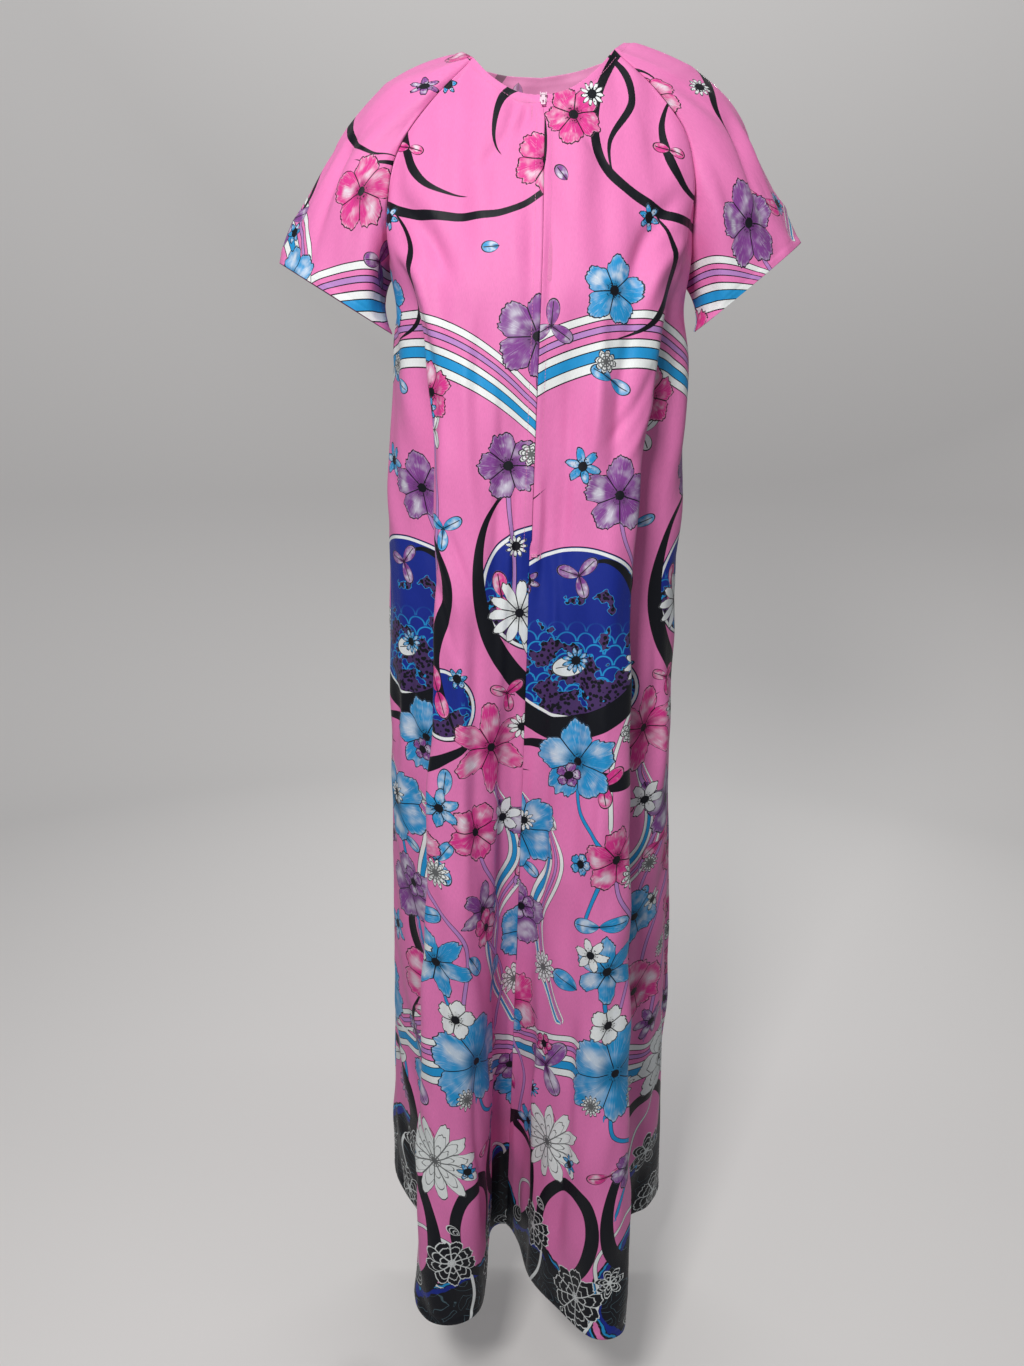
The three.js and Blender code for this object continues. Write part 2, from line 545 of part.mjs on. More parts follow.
const block = (x, y, z, cx, cy, cz) => solid(new THREE.BoxGeometry(x, y, z), new THREE.Matrix4().makeTranslation(cx, cy, cz));
const rod = (radius, length, cx, cy, cz, sides = 16) =>
  solid(
    new THREE.CylinderGeometry(radius, radius, length, sides),
    new THREE.Matrix4().makeTranslation(cx, cy, cz).multiply(new THREE.Matrix4().makeRotationZ(Math.PI / 2))
  );

// The slider in its own frame: its back in the plane y = 0, the pin across x at the height z = 0.
function sliderGeometry() {
  const { width, length, depth } = SLIDER;
  const earX = width / 2 - EAR.wall / 2;
  let made = block(width, depth, length, 0, -depth / 2, 1.2 - length / 2 + 1);
  [-earX, earX].forEach((x) => {
    made = made.add(block(EAR.wall, EAR.reach + 0.4, EAR.height, x, 0.2 - depth - EAR.reach / 2, 0));
  });
  return geometryOf(made.add(rod(PIN.radius, width - EAR.wall, 0, -depth - PIN.standOff, 0)));
}

// The pull tab in the same frame, hanging down from the pin.
function tabGeometry() {
  const { width, length, wall, eyeWidth, eyeRadius, eyeHole, slot } = TAB;
  const y = -SLIDER.depth - PIN.standOff;
  const plate = length - 3.2;
  let made = rod(eyeRadius, eyeWidth, 0, y, 0).add(block(eyeWidth, wall, 3, 0, y, -2));
  made = made.add(block(width, wall, plate, 0, y, -3.2 - plate / 2));
  made = made.subtract(rod(eyeHole, eyeWidth + 2, 0, y, 0));
  return geometryOf(made.subtract(block(slot, wall + 2, 3, 0, y, 3 - length)));
}

// Stands a small zip part on the slanting cloth at the top of the zip.
function standOnZip(geometry) {
  const { point, normal } = besideCentre(0, SLIDER.topZ - 2.2);
  const lean = Math.atan2(normal.z, -normal.y);
  const matrix = new THREE.Matrix4().makeRotationX(-lean);
  matrix.setPosition(point.addScaledVector(normal, LAYER_GAP));
  return geometry.applyMatrix4(matrix);
}

const kaftan = new THREE.Group();
kaftan.add(bodyPanel('front_right', 0, SIDE_SEAM));
kaftan.add(bodyPanel('back', SIDE_SEAM, AROUND - SIDE_SEAM));
kaftan.add(bodyPanel('front_left', AROUND - SIDE_SEAM, AROUND));
SLEEVES.forEach((sizes) => kaftan.add(sleevePanel(sizes)));

const tapeDepth = WALL + LAYER_GAP;
const tapeTop = topEdge(0)[2] - 2;
const tapeEnd = ZIP_END_Z - 12;
const coilTop = SLIDER.topZ - SLIDER.length;
const coilDepth = tapeDepth - LAYER_GAP - COIL.depth;
const [coilLeft, coilRight] = [COIL.width / 2, -COIL.width / 2];
kaftan.add(zipStrip('zip_tape_right', -TAPE_WIDTH, -SEAM_HALF_GAP, tapeDepth, TAPE_WALL, tapeTop, tapeEnd, tape));
kaftan.add(zipStrip('zip_tape_left', SEAM_HALF_GAP, TAPE_WIDTH, tapeDepth, TAPE_WALL, tapeTop, tapeEnd, tape));
kaftan.add(zipStrip('zip_coil', coilRight, coilLeft, coilDepth, COIL.depth, coilTop, ZIP_END_Z + 3, plastic));
kaftan.add(named('zip_slider', standOnZip(sliderGeometry()), enamel));
kaftan.add(named('zip_pull', standOnZip(tabGeometry()), enamel));

export default kaftan;
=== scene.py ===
"""Looks for a zip-front maxi kaftan in printed satin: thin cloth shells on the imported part's own form, with
their creases, seams, stitching and print, and the zip."""

import math
from functools import partialmethod

import bpy
import numpy as np
from mathutils import Euler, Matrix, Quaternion, Vector


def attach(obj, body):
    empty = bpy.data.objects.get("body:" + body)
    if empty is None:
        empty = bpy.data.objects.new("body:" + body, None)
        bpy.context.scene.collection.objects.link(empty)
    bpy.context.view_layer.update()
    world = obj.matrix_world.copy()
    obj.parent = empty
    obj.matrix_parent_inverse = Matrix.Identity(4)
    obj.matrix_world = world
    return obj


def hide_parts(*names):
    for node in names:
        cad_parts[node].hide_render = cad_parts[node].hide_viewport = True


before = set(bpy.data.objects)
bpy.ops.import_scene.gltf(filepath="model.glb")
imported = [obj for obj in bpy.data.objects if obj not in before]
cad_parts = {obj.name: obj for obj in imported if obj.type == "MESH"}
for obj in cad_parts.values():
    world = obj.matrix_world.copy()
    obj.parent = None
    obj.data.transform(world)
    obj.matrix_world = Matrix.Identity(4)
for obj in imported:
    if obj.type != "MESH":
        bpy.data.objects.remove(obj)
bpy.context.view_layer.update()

# Sizes, in millimetres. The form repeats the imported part's own tables.
MM = 0.001
LENGTH = 1370
UNDERARM_Z = -216
HIP_Z = -560
FOLD_START_Z = -185
ZIP_START_Z = -70
ZIP_END_Z = -480
SHOULDER_TILT = 0.066
CUFF_SKEW = 16
CUFF_DROP = 8
CLOTH = 0.8  # shell thickness
CELL = 3.75  # mesh spacing
BODY_CLOTH, SLEEVE_CLOTH = 1330, 290  # length of cloth that the mesh's rows are shared out over
LAP = 1.6  # how far the right front's edge stands past the middle of the zip
SHOWN = 1.3  # how far the left front's edge stays back from it
FAR = 99.0  # distance that stands for an edge which a place doesn't have
FRONT_CORNER, SIDE_SEAM, BACK_CORNER, CENTRE_BACK = 4, 10, 14, 17

# The smooth form under the folds: z, right, left, front, back.
SECTIONS = np.array([
    (-1370, 160, 184, 150, 112),
    (-1000, 151, 174, 140, 112),
    (-720, 150, 163, 132, 118),
    (-620, 160, 161, 129, 118),
    (-500, 155, 160, 126, 106),
    (-400, 149, 160, 125, 98),
    (-310, 147, 158, 128, 103),
    (-250, 150, 156, 127, 108),
    (-205, 161, 163, 120, 110),
    (-150, 165, 166, 107, 110),
    (-100, 155, 155, 92, 103),
    (-60, 130, 130, 76, 94),
    (-20, 104, 104, 60, 80),
    (10, 90, 90, 48, 72),
], float)
FRONT_SQUARENESS, BACK_SQUARENESS = 2.5, 2.9

# The folds: bearing on the smooth form, then plan place at the hip and at the hem.
FOLDS = np.array([
    (0, -5, -119, -16, -14),
    (8, -22, -121, -36, -26),
    (16, -40, -128, -39, -88),
    (25, -58, -132, -45, -146),
    (34, -77, -132, -72, -169),
    (41, -94, -124, -106, -163),
    (48, -101, -106, -123, -124),
    (56, -82, -74, -98, -58),
    (66, -116, -55, -128, 0),
    (78, -147, -30, -150, 36),
    (90, -159, 8, -168, 74),
    (102, -152, 42, -170, 100),
    (114, -132, 72, -147, 114),
    (126, -106, 91, -119, 104),
    (138, -80, 100, -92, 91),
    (152, -53, 103, -63, 98),
    (166, -27, 109, -33, 115),
    (180, 0, 112, -2, 120),
    (194, 27, 109, 28, 108),
    (208, 54, 103, 58, 92),
    (222, 82, 100, 89, 95),
    (234, 108, 91, 118, 110),
    (246, 134, 74, 149, 118),
    (258, 155, 46, 183, 103),
    (270, 161, 10, 193, 64),
    (282, 154, -28, 172, 22),
    (294, 124, -54, 142, 0),
    (304, 84, -72, 104, -62),
    (312, 101, -106, 123, -132),
    (319, 96, -123, 119, -176),
    (326, 78, -131, 84, -184),
    (335, 56, -130, 46, -144),
    (344, 34, -124, 14, -100),
    (352, 13, -119, 0, -44),
], float)
AROUND = len(FOLDS)

# Neckline and raglan seams of the +X side: place in the fold table, or share of the way, then x, y, z.
NECK_FRONT = np.array([(0, 0, -76, -62), (1.4, 25, -73, -56), (2.8, 49, -63, -39), (4, 67, -49, -18)], float)
RAGLAN_FRONT = np.array([
    (4, 67, -49, -18), (5, 107, -58, -56), (6, 138, -62, -98),
    (7, 148, -62, -142), (8.2, 150, -46, -184), (10, 149, -6, UNDERARM_Z),
], float)
NECK_SIDE = np.array([(0, 67, -49, -18), (0.45, 80, -8, 0), (0.75, 76, 26, 4), (1, 64, 52, 2)], float)
RAGLAN_BACK = np.array([
    (10, 149, -6, UNDERARM_Z), (11.6, 151, 40, -190), (12.6, 150, 64, -142),
    (13.1, 138, 70, -94), (13.6, 104, 65, -42), (14, 64, 52, 2),
], float)
NECK_BACK = np.array([(14, 64, 52, 2), (15.4, 36, 66, -1), (17, 0, 72, -3)], float)

# The sleeves' cuffs, and how their cloth leaves the seams: share round, direction, pull, run at the cuff.
SLEEVES = {
    "sleeve_right": dict(side=-1, x=209, y=-14, z=-237, tilt=30.5, across=69, deep=46, square=0.95),
    "sleeve_left": dict(side=1, x=216, y=-12, z=-219, tilt=40, across=71, deep=46, square=1.28),
}
SLEEVE_FRONT_CORNER, SLEEVE_BACK_CORNER = 0.38, 0.62
SLEEVE_FRONT_STARTS = [
    (0, 0.72, 0, -0.69, 1.0, 0.85),
    (0.1, 0.72, -0.3, -0.62, 1.0, 0.85),
    (0.2, 0.76, -0.3, -0.58, 1.05, 0.9),
    (0.3, 0.88, -0.14, -0.45, 1.2, 1.1),
    (0.38, 0.96, -0.05, -0.26, 1.3, 1.25),
]
SLEEVE_BACK_STARTS = [(1 - share, x, -y, *rest) for share, x, y, *rest in reversed(SLEEVE_FRONT_STARTS)]
SLEEVE_STARTS = np.array([*SLEEVE_FRONT_STARTS, (0.5, 0.985, 0, -0.17, 1.33, 1.3), *SLEEVE_BACK_STARTS])


# The form's functions, on whole arrays.
def ease(t):
    t = np.clip(t, 0, 1)
    return t * t * (3 - 2 * t)


def hermite(a, ta, b, tb, s):
    s2, s3 = s * s, s * s * s
    return (2 * s3 - 3 * s2 + 1) * a + (s3 - 2 * s2 + s) * ta + (3 * s2 - 2 * s3) * b + (s3 - s2) * tb


def spline(xs, ys, at, slopes):
    """Cubic through (xs, ys) with the given slopes, at many places."""
    t = np.clip(at, xs[0], xs[-1])
    i = np.clip(np.searchsorted(xs, t, side="left") - 1, 0, len(xs) - 2)
    step = xs[i + 1] - xs[i]
    return hermite(ys[i], slopes[i] * step, ys[i + 1], slopes[i + 1] * step, (t - xs[i]) / step)


def monotone(xs, ys, at):
    """The same, with nothing overshooting between its rows."""
    d = np.diff(ys) / np.diff(xs)
    product, total = d[:-1] * d[1:], d[:-1] + d[1:]
    inner = np.where(product > 0, 2 * product / np.where(total == 0, 1, total), 0)
    return spline(xs, ys, at, np.concatenate([[d[0]], inner, [d[-1]]]))


def through(rows, at):
    """Smooth curve through a table of places and points."""
    xs = rows[:, 0]
    n = np.arange(len(xs))
    lo, hi = np.maximum(n - 1, 0), np.minimum(n + 1, len(xs) - 1)
    slopes = (rows[hi] - rows[lo]) / (xs[hi] - xs[lo])[:, None]
    return np.stack([spline(xs, rows[:, k], at, slopes[:, k]) for k in range(1, rows.shape[1])], -1)


def arc_lengths(line):
    """How far along a line of points each of them is."""
    return np.concatenate([[0], np.cumsum(np.linalg.norm(np.diff(line, axis=0), axis=1))])


UP = SECTIONS[::-1][np.argsort(SECTIONS[::-1][:, 0])]
BEARINGS = np.append(FOLDS[:, 0], 360.0)


def form(around, z):
    angle = np.radians(around)
    sin, cos = np.sin(angle), np.cos(angle)
    half = np.where(around <= 180, monotone(UP[:, 0], UP[:, 1], z), monotone(UP[:, 0], UP[:, 2], z))
    depth = np.where(cos > 0, monotone(UP[:, 0], UP[:, 3], z), monotone(UP[:, 0], UP[:, 4], z))
    power = np.where(cos > 0, 2 / FRONT_SQUARENESS, 2 / BACK_SQUARENESS)
    x = -np.sign(sin) * half * np.abs(sin) ** power
    return np.stack([x, -np.sign(cos) * depth * np.abs(cos) ** power], -1)


def folded(row, column):
    at = np.mod(row, AROUND)
    i = np.floor(at).astype(int)
    before, a, b, after = (FOLDS[(i + d) % AROUND, column] for d in (-1, 0, 1, 2))
    return hermite(a, (b - before) / 2, b, (after - a) / 2, at - i)


def body_form(row, z):
    wrapped = np.mod(row, AROUND)
    smooth = form(monotone(np.arange(AROUND + 1.0), BEARINGS, wrapped), z)
    hip = np.stack([folded(row, 1), folded(row, 2)], -1)
    hem = np.stack([folded(row, 3), folded(row, 4)], -1)
    to_hip = ease(np.clip((FOLD_START_Z - z) / (FOLD_START_Z - HIP_Z), 0, 1) ** 0.8)[..., None]
    to_hem = (np.clip((HIP_Z - z) / (HIP_Z + LENGTH), 0, 1) ** 1.1)[..., None]
    return smooth + (hip - smooth) * to_hip + (hem - hip) * to_hem


def tilted(p, side):
    """A +X seam point on its own side, with the shoulders' tilt."""
    x = p[..., 0] * side
    z = p[..., 2] + SHOULDER_TILT * x * ease((p[..., 2] - UNDERARM_Z) / 130)
    return np.stack([x, p[..., 1], z], -1)


def top_edge(row):
    wrapped = np.mod(row, AROUND)
    left = wrapped > CENTRE_BACK
    at = np.where(left, AROUND - wrapped, wrapped)
    p = through(NECK_BACK, at)
    for rows, end in ((RAGLAN_BACK, BACK_CORNER), (RAGLAN_FRONT, SIDE_SEAM), (NECK_FRONT, FRONT_CORNER)):
        p = np.where((at < end)[..., None], through(rows, at), p)
    return tilted(p, np.where(left, 1.0, -1.0))


def body(row, share):
    row, share = np.broadcast_arrays(np.asarray(row, float), np.asarray(share, float))
    top = top_edge(row)
    z = top[..., 2] + (-LENGTH - top[..., 2]) * share
    plan, at_top = body_form(row, z), body_form(row, top[..., 2])
    pull = 1 - ease((top[..., 2] - z) / np.maximum(90, top[..., 2] + 290))
    xy = plan + (top[..., :2] - at_top) * pull[..., None]
    return np.concatenate([xy, z[..., None]], -1)


def sleeve_top(at):
    front = through(RAGLAN_FRONT, SIDE_SEAM + (FRONT_CORNER - SIDE_SEAM) * at / SLEEVE_FRONT_CORNER)
    down = (at - SLEEVE_BACK_CORNER) / (1 - SLEEVE_BACK_CORNER)
    back = through(RAGLAN_BACK, BACK_CORNER + (SIDE_SEAM - BACK_CORNER) * down)
    neck = through(NECK_SIDE, (at - SLEEVE_FRONT_CORNER) / (SLEEVE_BACK_CORNER - SLEEVE_FRONT_CORNER))
    p = np.where((at < SLEEVE_FRONT_CORNER)[..., None], front, neck)
    return np.where((at > SLEEVE_BACK_CORNER)[..., None], back, p)


def sleeve(sizes, at, share):
    at, share = np.broadcast_arrays(np.asarray(at, float), np.asarray(share, float))
    tilt, drop = math.radians(sizes["tilt"]), math.radians(sizes["tilt"] - CUFF_DROP)
    turn = 2 * np.pi * at
    inward = sizes["across"] * np.cos(turn)
    start = tilted(sleeve_top(at), sizes["side"])
    end = np.stack([
        sizes["side"] * (sizes["x"] - inward * math.cos(tilt)),
        sizes["y"] - sizes["deep"] * np.sin(turn) - CUFF_SKEW * np.cos(turn),
        sizes["z"] - inward * math.sin(tilt),
    ], -1)
    length = np.linalg.norm(end - start, axis=-1)
    column = lambda k: monotone(SLEEVE_STARTS[:, 0], SLEEVE_STARTS[:, k], at)
    top = np.maximum(0, -np.cos(turn))
    pull = length * column(4) * (1 + (sizes["square"] - 1) * top)
    away = np.stack([sizes["side"] * column(1), column(2), column(3)], -1) * pull[..., None]
    run = length * column(5)
    outward = math.sin(drop) - 0.75 * np.maximum(0, np.cos(turn)) ** 2
    along = np.stack([sizes["side"] * run * outward, 0 * run, -run * math.cos(drop)], -1)
    return hermite(start, away, end, along, share[..., None])


# The print: one cloth design, repeated every REPEAT millimetres across and cut at a different place for each
# piece. In it "s" runs across the cloth, and "t" down it from 0 at the shoulder, as a minus number.
REPEAT = 640.0
INK = {
    "pink": (0.82, 0.215, 0.5),
    "black": (0.006, 0.007, 0.011),
    "navy": (0.012, 0.028, 0.27),
    "sky": (0.02, 0.31, 0.66),
    "pale_sky": (0.42, 0.74, 0.88),
    "magenta": (0.72, 0.04, 0.28),
    "purple": (0.24, 0.06, 0.3),
    "white": (0.84, 0.88, 0.87),
    "lilac": (0.5, 0.25, 0.6),
}


def ring(s, t, across, down, start=2.0):
    """Points round an ellipse, for a vine that closes on itself."""
    turns = [start + k * math.pi / 5 for k in range(11)]
    return [(s + across * math.cos(a), t + down * math.sin(a)) for a in turns]


# Black vines, in three layers that may cross each other: full width at the start, the middle and the end,
# then the points they pass through.
VINES = [
    (1, (8, 10, 0), [(16, 14), (60, -60), (66, -128), (32, -192), (-30, -216)]),
    (2, (9, 9, 5), [(170, 14), (124, -56), (126, -118), (178, -160), (246, -172), (306, -166), (350, -134)]),
    (3, (0, 9, 0), [(330, -150), (362, -106), (340, -58), (296, -58), (284, -100), (300, -128)]),
    (1, (10, 11, 0), [(424, 14), (446, -58), (424, -124), (382, -176), (366, -244)]),
    (2, (9, 10, 0), [(590, 14), (530, -60), (528, -132), (580, -184), (640, -196), (700, -166)]),
    (3, (0, 8, 0), [(466, -256), (514, -214), (562, -226), (580, -268), (552, -306)]),
    (3, (0, 8, 0), [(166, -140), (202, -200), (184, -262), (130, -286)]),
    (3, (0, 9, 0), [(540, -156), (488, -96), (484, -50), (520, -22)]),
    (3, (0, 8, 0), [(92, -28), (140, -22), (160, -62), (134, -104), (146, -160)]),
    (1, (0, 9, 0), [(214, -30), (190, -88), (214, -140), (276, -158)]),
    (1, (0, 26, 0), [
        (116, -396), (30, -474), (22, -590), (94, -664), (184, -630), (200, -552), (150, -490), (96, -520),
    ]),
    (2, (0, 24, 0), [
        (356, -376), (284, -458), (290, -566), (360, -644), (450, -630), (488, -556), (452, -490),
    ]),
    (3, (0, 22, 0), [(466, -646), (548, -586), (612, -630), (652, -706), (736, -718)]),
    (2, (0, 20, 0), [(-26, -714), (84, -684), (168, -716), (240, -694), (322, -630)]),
    (1, (0, 15, 0), [(336, -680), (430, -738), (504, -702), (596, -756)]),
    (3, (0, 17, 0), [(206, -430), (246, -516), (228, -600), (264, -700)]),
    (3, (0, 13, 0), [(24, -550), (-34, -600), (-42, -680), (14, -748)]),
    (3, (0, 13, 0), [(376, -866), (436, -800), (520, -826), (544, -900), (496, -960)]),
    (2, (0, 13, 0), [(126, -876), (58, -926), (66, -1000), (136, -1016)]),
    (1, (0, 15, 0), [(72, -996), (14, -1080), (48, -1166), (124, -1198), (188, -1136)]),
    (2, (10, 20, 10), ring(300, -1206, 44, 74)),
    (1, (12, 22, 12), ring(470, -1250, 56, 66, 0.6)),
    (2, (12, 22, 12), ring(96, -1252, 46, 78, 1.2)),
    (3, (10, 18, 10), ring(206, -1262, 40, 62, 4.0)),
    (3, (10, 20, 10), ring(566, -1200, 42, 64, 2.8)),
    (1, (0, 16, 0), [(346, -1120), (396, -1150), (408, -1210), (380, -1270), (392, -1330)]),
]
# Striped bands: layer, half width at the start, the middle and the end, points.
BANDS = [
    (1, (24, 27, 9), [(-60, -452), (20, -340), (130, -284), (240, -292), (330, -352), (384, -440)]),
    (2, (7, 24, 18), [(392, -318), (452, -276), (530, -268), (600, -304), (648, -372)]),
    (1, (22, 28, 22), [
        (-40, -1110), (90, -1062), (200, -1042), (320, -1092), (430, -1132), (540, -1084), (640, -1106),
    ]),
    (2, (6, 16, 6), [(290, -720), (330, -820), (280, -920), (330, -1040)]),
    (2, (5, 15, 6), [(560, -716), (610, -800), (560, -900), (600, -1010)]),
    (1, (6, 16, 6), [(60, -740), (116, -810), (96, -900), (150, -1000)]),
]
# Navy discs: place and radius. Then the circles that make the dark border's mounds.
DISCS = [(120, -566, 90), (346, -520, 66), (520, -560, 92), (236, -640, 38), (612, -660, 40)]
MOUNDS = [
    (40, -1346, 62), (176, -1424, 118), (330, -1308, 74),
    (452, -1418, 132), (580, -1312, 84), (610, -1380, 80),
]

# Petalled motifs: petals, how deep they part, how pointed they are, and the style: 0 is painted, 1 is pale
# line-art on black, and 2 is dark line-art on white.
SHAPES = {
    "blossom": (5, 0.32, 0.75, 0),
    "pansy": (3, 0.26, 0.8, 0),
    "daisy": (11, 0.5, 0.9, 0),
    "star": (6, 0.5, 1.5, 0),
    "leaf": (1, 0.97, 13, 0),
    "pair": (2, 0.97, 4.5, 0),
    "trefoil": (3, 0.9, 2.2, 0),
    "rosette": (9, 0.2, 0.8, 1),
    "line_leaf": (1, 0.97, 13, 1),
    "line_star": (7, 0.46, 1.2, 1),
    "pale_rosette": (8, 0.34, 0.7, 2),
    "pale_star": (12, 0.4, 1.1, 2),
}
# Where motifs are scattered: layer, seed, tries, top, bottom, radii, shapes, inks, room between them.
SCATTER = [
    ("a", 3, 60, -6, -250, (16, 26), "pair leaf leaf", "sky magenta purple", 60),
    ("a", 5, 300, -270, -640, (22, 38), "pair leaf trefoil", "sky purple white magenta", 24),
    ("a", 7, 900, -640, -1170, (24, 44), "pair leaf trefoil leaf", "sky magenta purple white sky", 4),
    ("a", 9, 300, -1240, -1390, (18, 34), "line_leaf line_star", "white", 26),
    ("b", 12, 60, -20, -250, (28, 40), "blossom pansy", "magenta sky", 70),
    ("b", 14, 200, -230, -450, (32, 46), "blossom blossom star", "sky magenta purple", 36),
    ("b", 15, 200, -450, -660, (24, 36), "star blossom daisy", "white sky magenta", 56),
    ("b", 33, 60, -1090, -1220, (50, 60), "pale_star pale_rosette", "white", 90),
    ("b", 17, 1500, -660, -960, (34, 54), "blossom pansy blossom star", "sky magenta purple sky magenta", 3),
    ("b", 19, 1500, -960, -1190, (44, 64), "blossom pansy blossom", "magenta sky purple sky", 4),
    ("b", 21, 300, -1270, -1380, (26, 40), "rosette line_star", "white", 20),
    ("c", 24, 40, -30, -300, (10, 15), "daisy star", "purple white sky", 90),
    ("c", 26, 400, -300, -700, (11, 20), "daisy star pale_rosette", "white purple sky", 60),
    ("c", 28, 900, -700, -1200, (12, 26), "daisy star blossom pale_star",
     "white magenta sky purple white", 26),
]
# Thin pale curls over the dark loops near the hem: layer and points.
CURLS = [
    (1, [(150, -1396), (176, -1340), (168, -1280), (132, -1250), (100, -1272), (104, -1310), (134, -1318)]),
    (2, [(392, -1396), (438, -1350), (440, -1290), (406, -1262), (372, -1286), (384, -1322), (412, -1316)]),
    (1, [(600, -1396), (556, -1350), (552, -1286), (590, -1250), (626, -1276), (618, -1316), (588, -1318)]),
    (2, [(256, -1390), (270, -1330), (256, -1270), (284, -1226), (322, -1238), (320, -1276), (292, -1280)]),
]
# Which of the stems' inks goes with a flower's.
STEM_TONES = {"sky": 0.1, "purple": 0.5, "magenta": 0.5, "white": 0.9}
STEMS_TOP, STEMS_BOTTOM = -240, -1160
REACH, STEM_REACH = 70.0, 30.0  # how far a line's distance is told, and a stem's
MOTIF_MARGIN = 6.0  # how far outside its radius a motif may be drawn
PATH_STEP = 4.0  # between the points of a smooth line


def scattered():
    """Each layer's motifs: s, t, radius, turn, shape, ink. Each keeps clear of the others of its layer."""
    layers = {"a": [], "b": [], "c": []}
    for layer, seed, tries, top, bottom, radii, shapes, inks, spacing in SCATTER:
        rng = np.random.RandomState(seed)
        shapes, inks = shapes.split(), inks.split()
        for _ in range(tries):
            s, t, size, turn = rng.rand(4)
            s, t, size = s * REPEAT, bottom + t * (top - bottom), radii[0] + size * (radii[1] - radii[0])
            pick, ink = rng.randint(len(shapes)), rng.randint(len(inks))
            if all(room(s, t, other) > size + spacing for other in layers[layer]):
                layers[layer].append((s, t, size, turn * 2 * math.pi, shapes[pick], inks[ink]))
    return layers


def room(s, t, motif):
    """How far a place is from a motif's edge, round the repeat."""
    ds = abs(s - motif[0])
    return math.hypot(min(ds, REPEAT - ds), t - motif[1]) - motif[2]


MOTIFS = scattered()


def stems():
    """Thin lines in two layers: the curls, and a stem for each larger flower below the chest: layer, tone,
    points."""
    out = [(layer, STEM_TONES["white"], points) for layer, points in CURLS]
    for k, (s, t, size, turn, _, ink) in enumerate(MOTIFS["b"]):
        if STEMS_BOTTOM < t < STEMS_TOP:
            lean = 46 * math.sin(3 * turn) + 14
            line = [(0, 0), (0.15, -1.1 * size), (0.8, -100), (0.6, -170)]
            out.append((1 + k % 2, STEM_TONES[ink], [(s + share * lean, t + down) for share, down in line]))
    return out


def smooth_path(points):
    """Points a few millimetres apart along a smooth curve, with the share of the way at each."""
    count = max(8, int(arc_lengths(points)[-1] / PATH_STEP))
    rows = np.column_stack([np.arange(len(points)), points]).astype(float)
    return through(rows, np.linspace(0, len(points) - 1, count)), np.linspace(0, 1, count)


def to_path(st, points, reach=REACH):
    """For many cloth places: signed and unsigned distance to a path, and share of the way along it. Places
    further than the reach keep the reach."""
    path, share = smooth_path(points)
    n = len(st)
    signed, unsigned, along = np.full(n, reach), np.full(n, reach), np.zeros(n)
    near = np.nonzero(((st > path.min(0) - reach) & (st < path.max(0) + reach)).all(1))[0]
    a, b = path[:-1][None], path[1:][None]
    ab = b - a
    for start in range(0, len(near), 4000):
        some = near[start:start + 4000]
        q = st[some][:, None, :]
        f = np.clip(((q - a) * ab).sum(-1) / (ab * ab).sum(-1), 0, 1)
        away = q - (a + ab * f[..., None])
        d = np.hypot(away[..., 0], away[..., 1])
        k = d.argmin(1)
        rows = np.arange(len(some))
        cross = ab[0, k, 0] * away[rows, k, 1] - ab[0, k, 1] * away[rows, k, 0]
        unsigned[some] = d[rows, k]
        signed[some] = np.where(cross < 0, -1, 1) * d[rows, k]
        along[some] = share[k] + (share[k + 1] - share[k]) * f[rows, k]
    return signed, unsigned, along


def width_along(widths, along):
    a, b, c = widths
    return np.where(along < 0.5, a + (b - a) * ease(along * 2), b + (c - b) * ease(along * 2 - 1))


def repeats(st, lo, hi):
    """The shifts of the print's repeats that a span of cloth reaches."""
    first = math.floor((st[:, 0].min() - hi) / REPEAT)
    last = math.ceil((st[:, 0].max() - lo) / REPEAT)
    return [k * REPEAT for k in range(first, last + 1)]


def shifted(st, points, reach):
    """A path in each of the repeats near a span of cloth."""
    xs = [p[0] for p in points]
    return [[(x + k, t) for x, t in points] for k in repeats(st, min(xs) - reach, max(xs) + reach)]


def print_fields(st):
    """The parts of the print that vary smoothly over the cloth, at each of its mesh points."""
    n = len(st)
    mound = np.full(n, 200.0)
    fields = {f"vine{k}": np.tile([60.0, 60.0, 0.0], (n, 1)) for k in (1, 2, 3)}
    fields.update({f"band{k}": np.tile([2.0, 60.0, 0.0], (n, 1)) for k in (1, 2)})
    fields.update({f"stem{k}": np.tile([30.0, 30.0, 0.0], (n, 1)) for k in (1, 2)})

    def lay(field, off, values):
        closer = off < field[:, 1]
        field[closer] = np.stack(values, 1)[closer]

    for layer, widths, points in VINES:
        for line in shifted(st, points, REACH):
            signed, d, along = to_path(st, line)
            half = width_along(widths, along) / 2
            lay(fields[f"vine{layer}"], d - half, (signed, d - half, half))
    for layer, widths, points in BANDS:
        for line in shifted(st, points, REACH):
            signed, d, along = to_path(st, line)
            half = width_along(widths, along)
            lay(fields[f"band{layer}"], d - half, (signed / half, d - half, along))
    for layer, tone, points in stems():
        for line in shifted(st, points, STEM_REACH):
            signed, d, _ = to_path(st, line, STEM_REACH)
            lay(fields[f"stem{layer}"], d, (signed, d, np.full(n, tone)))
    for s, t, r in MOUNDS:
        for k in repeats(st, s - r, s + r):
            mound = np.minimum(mound, np.hypot(st[:, 0] - s - k, st[:, 1] - t) - r)
    return mound, fields


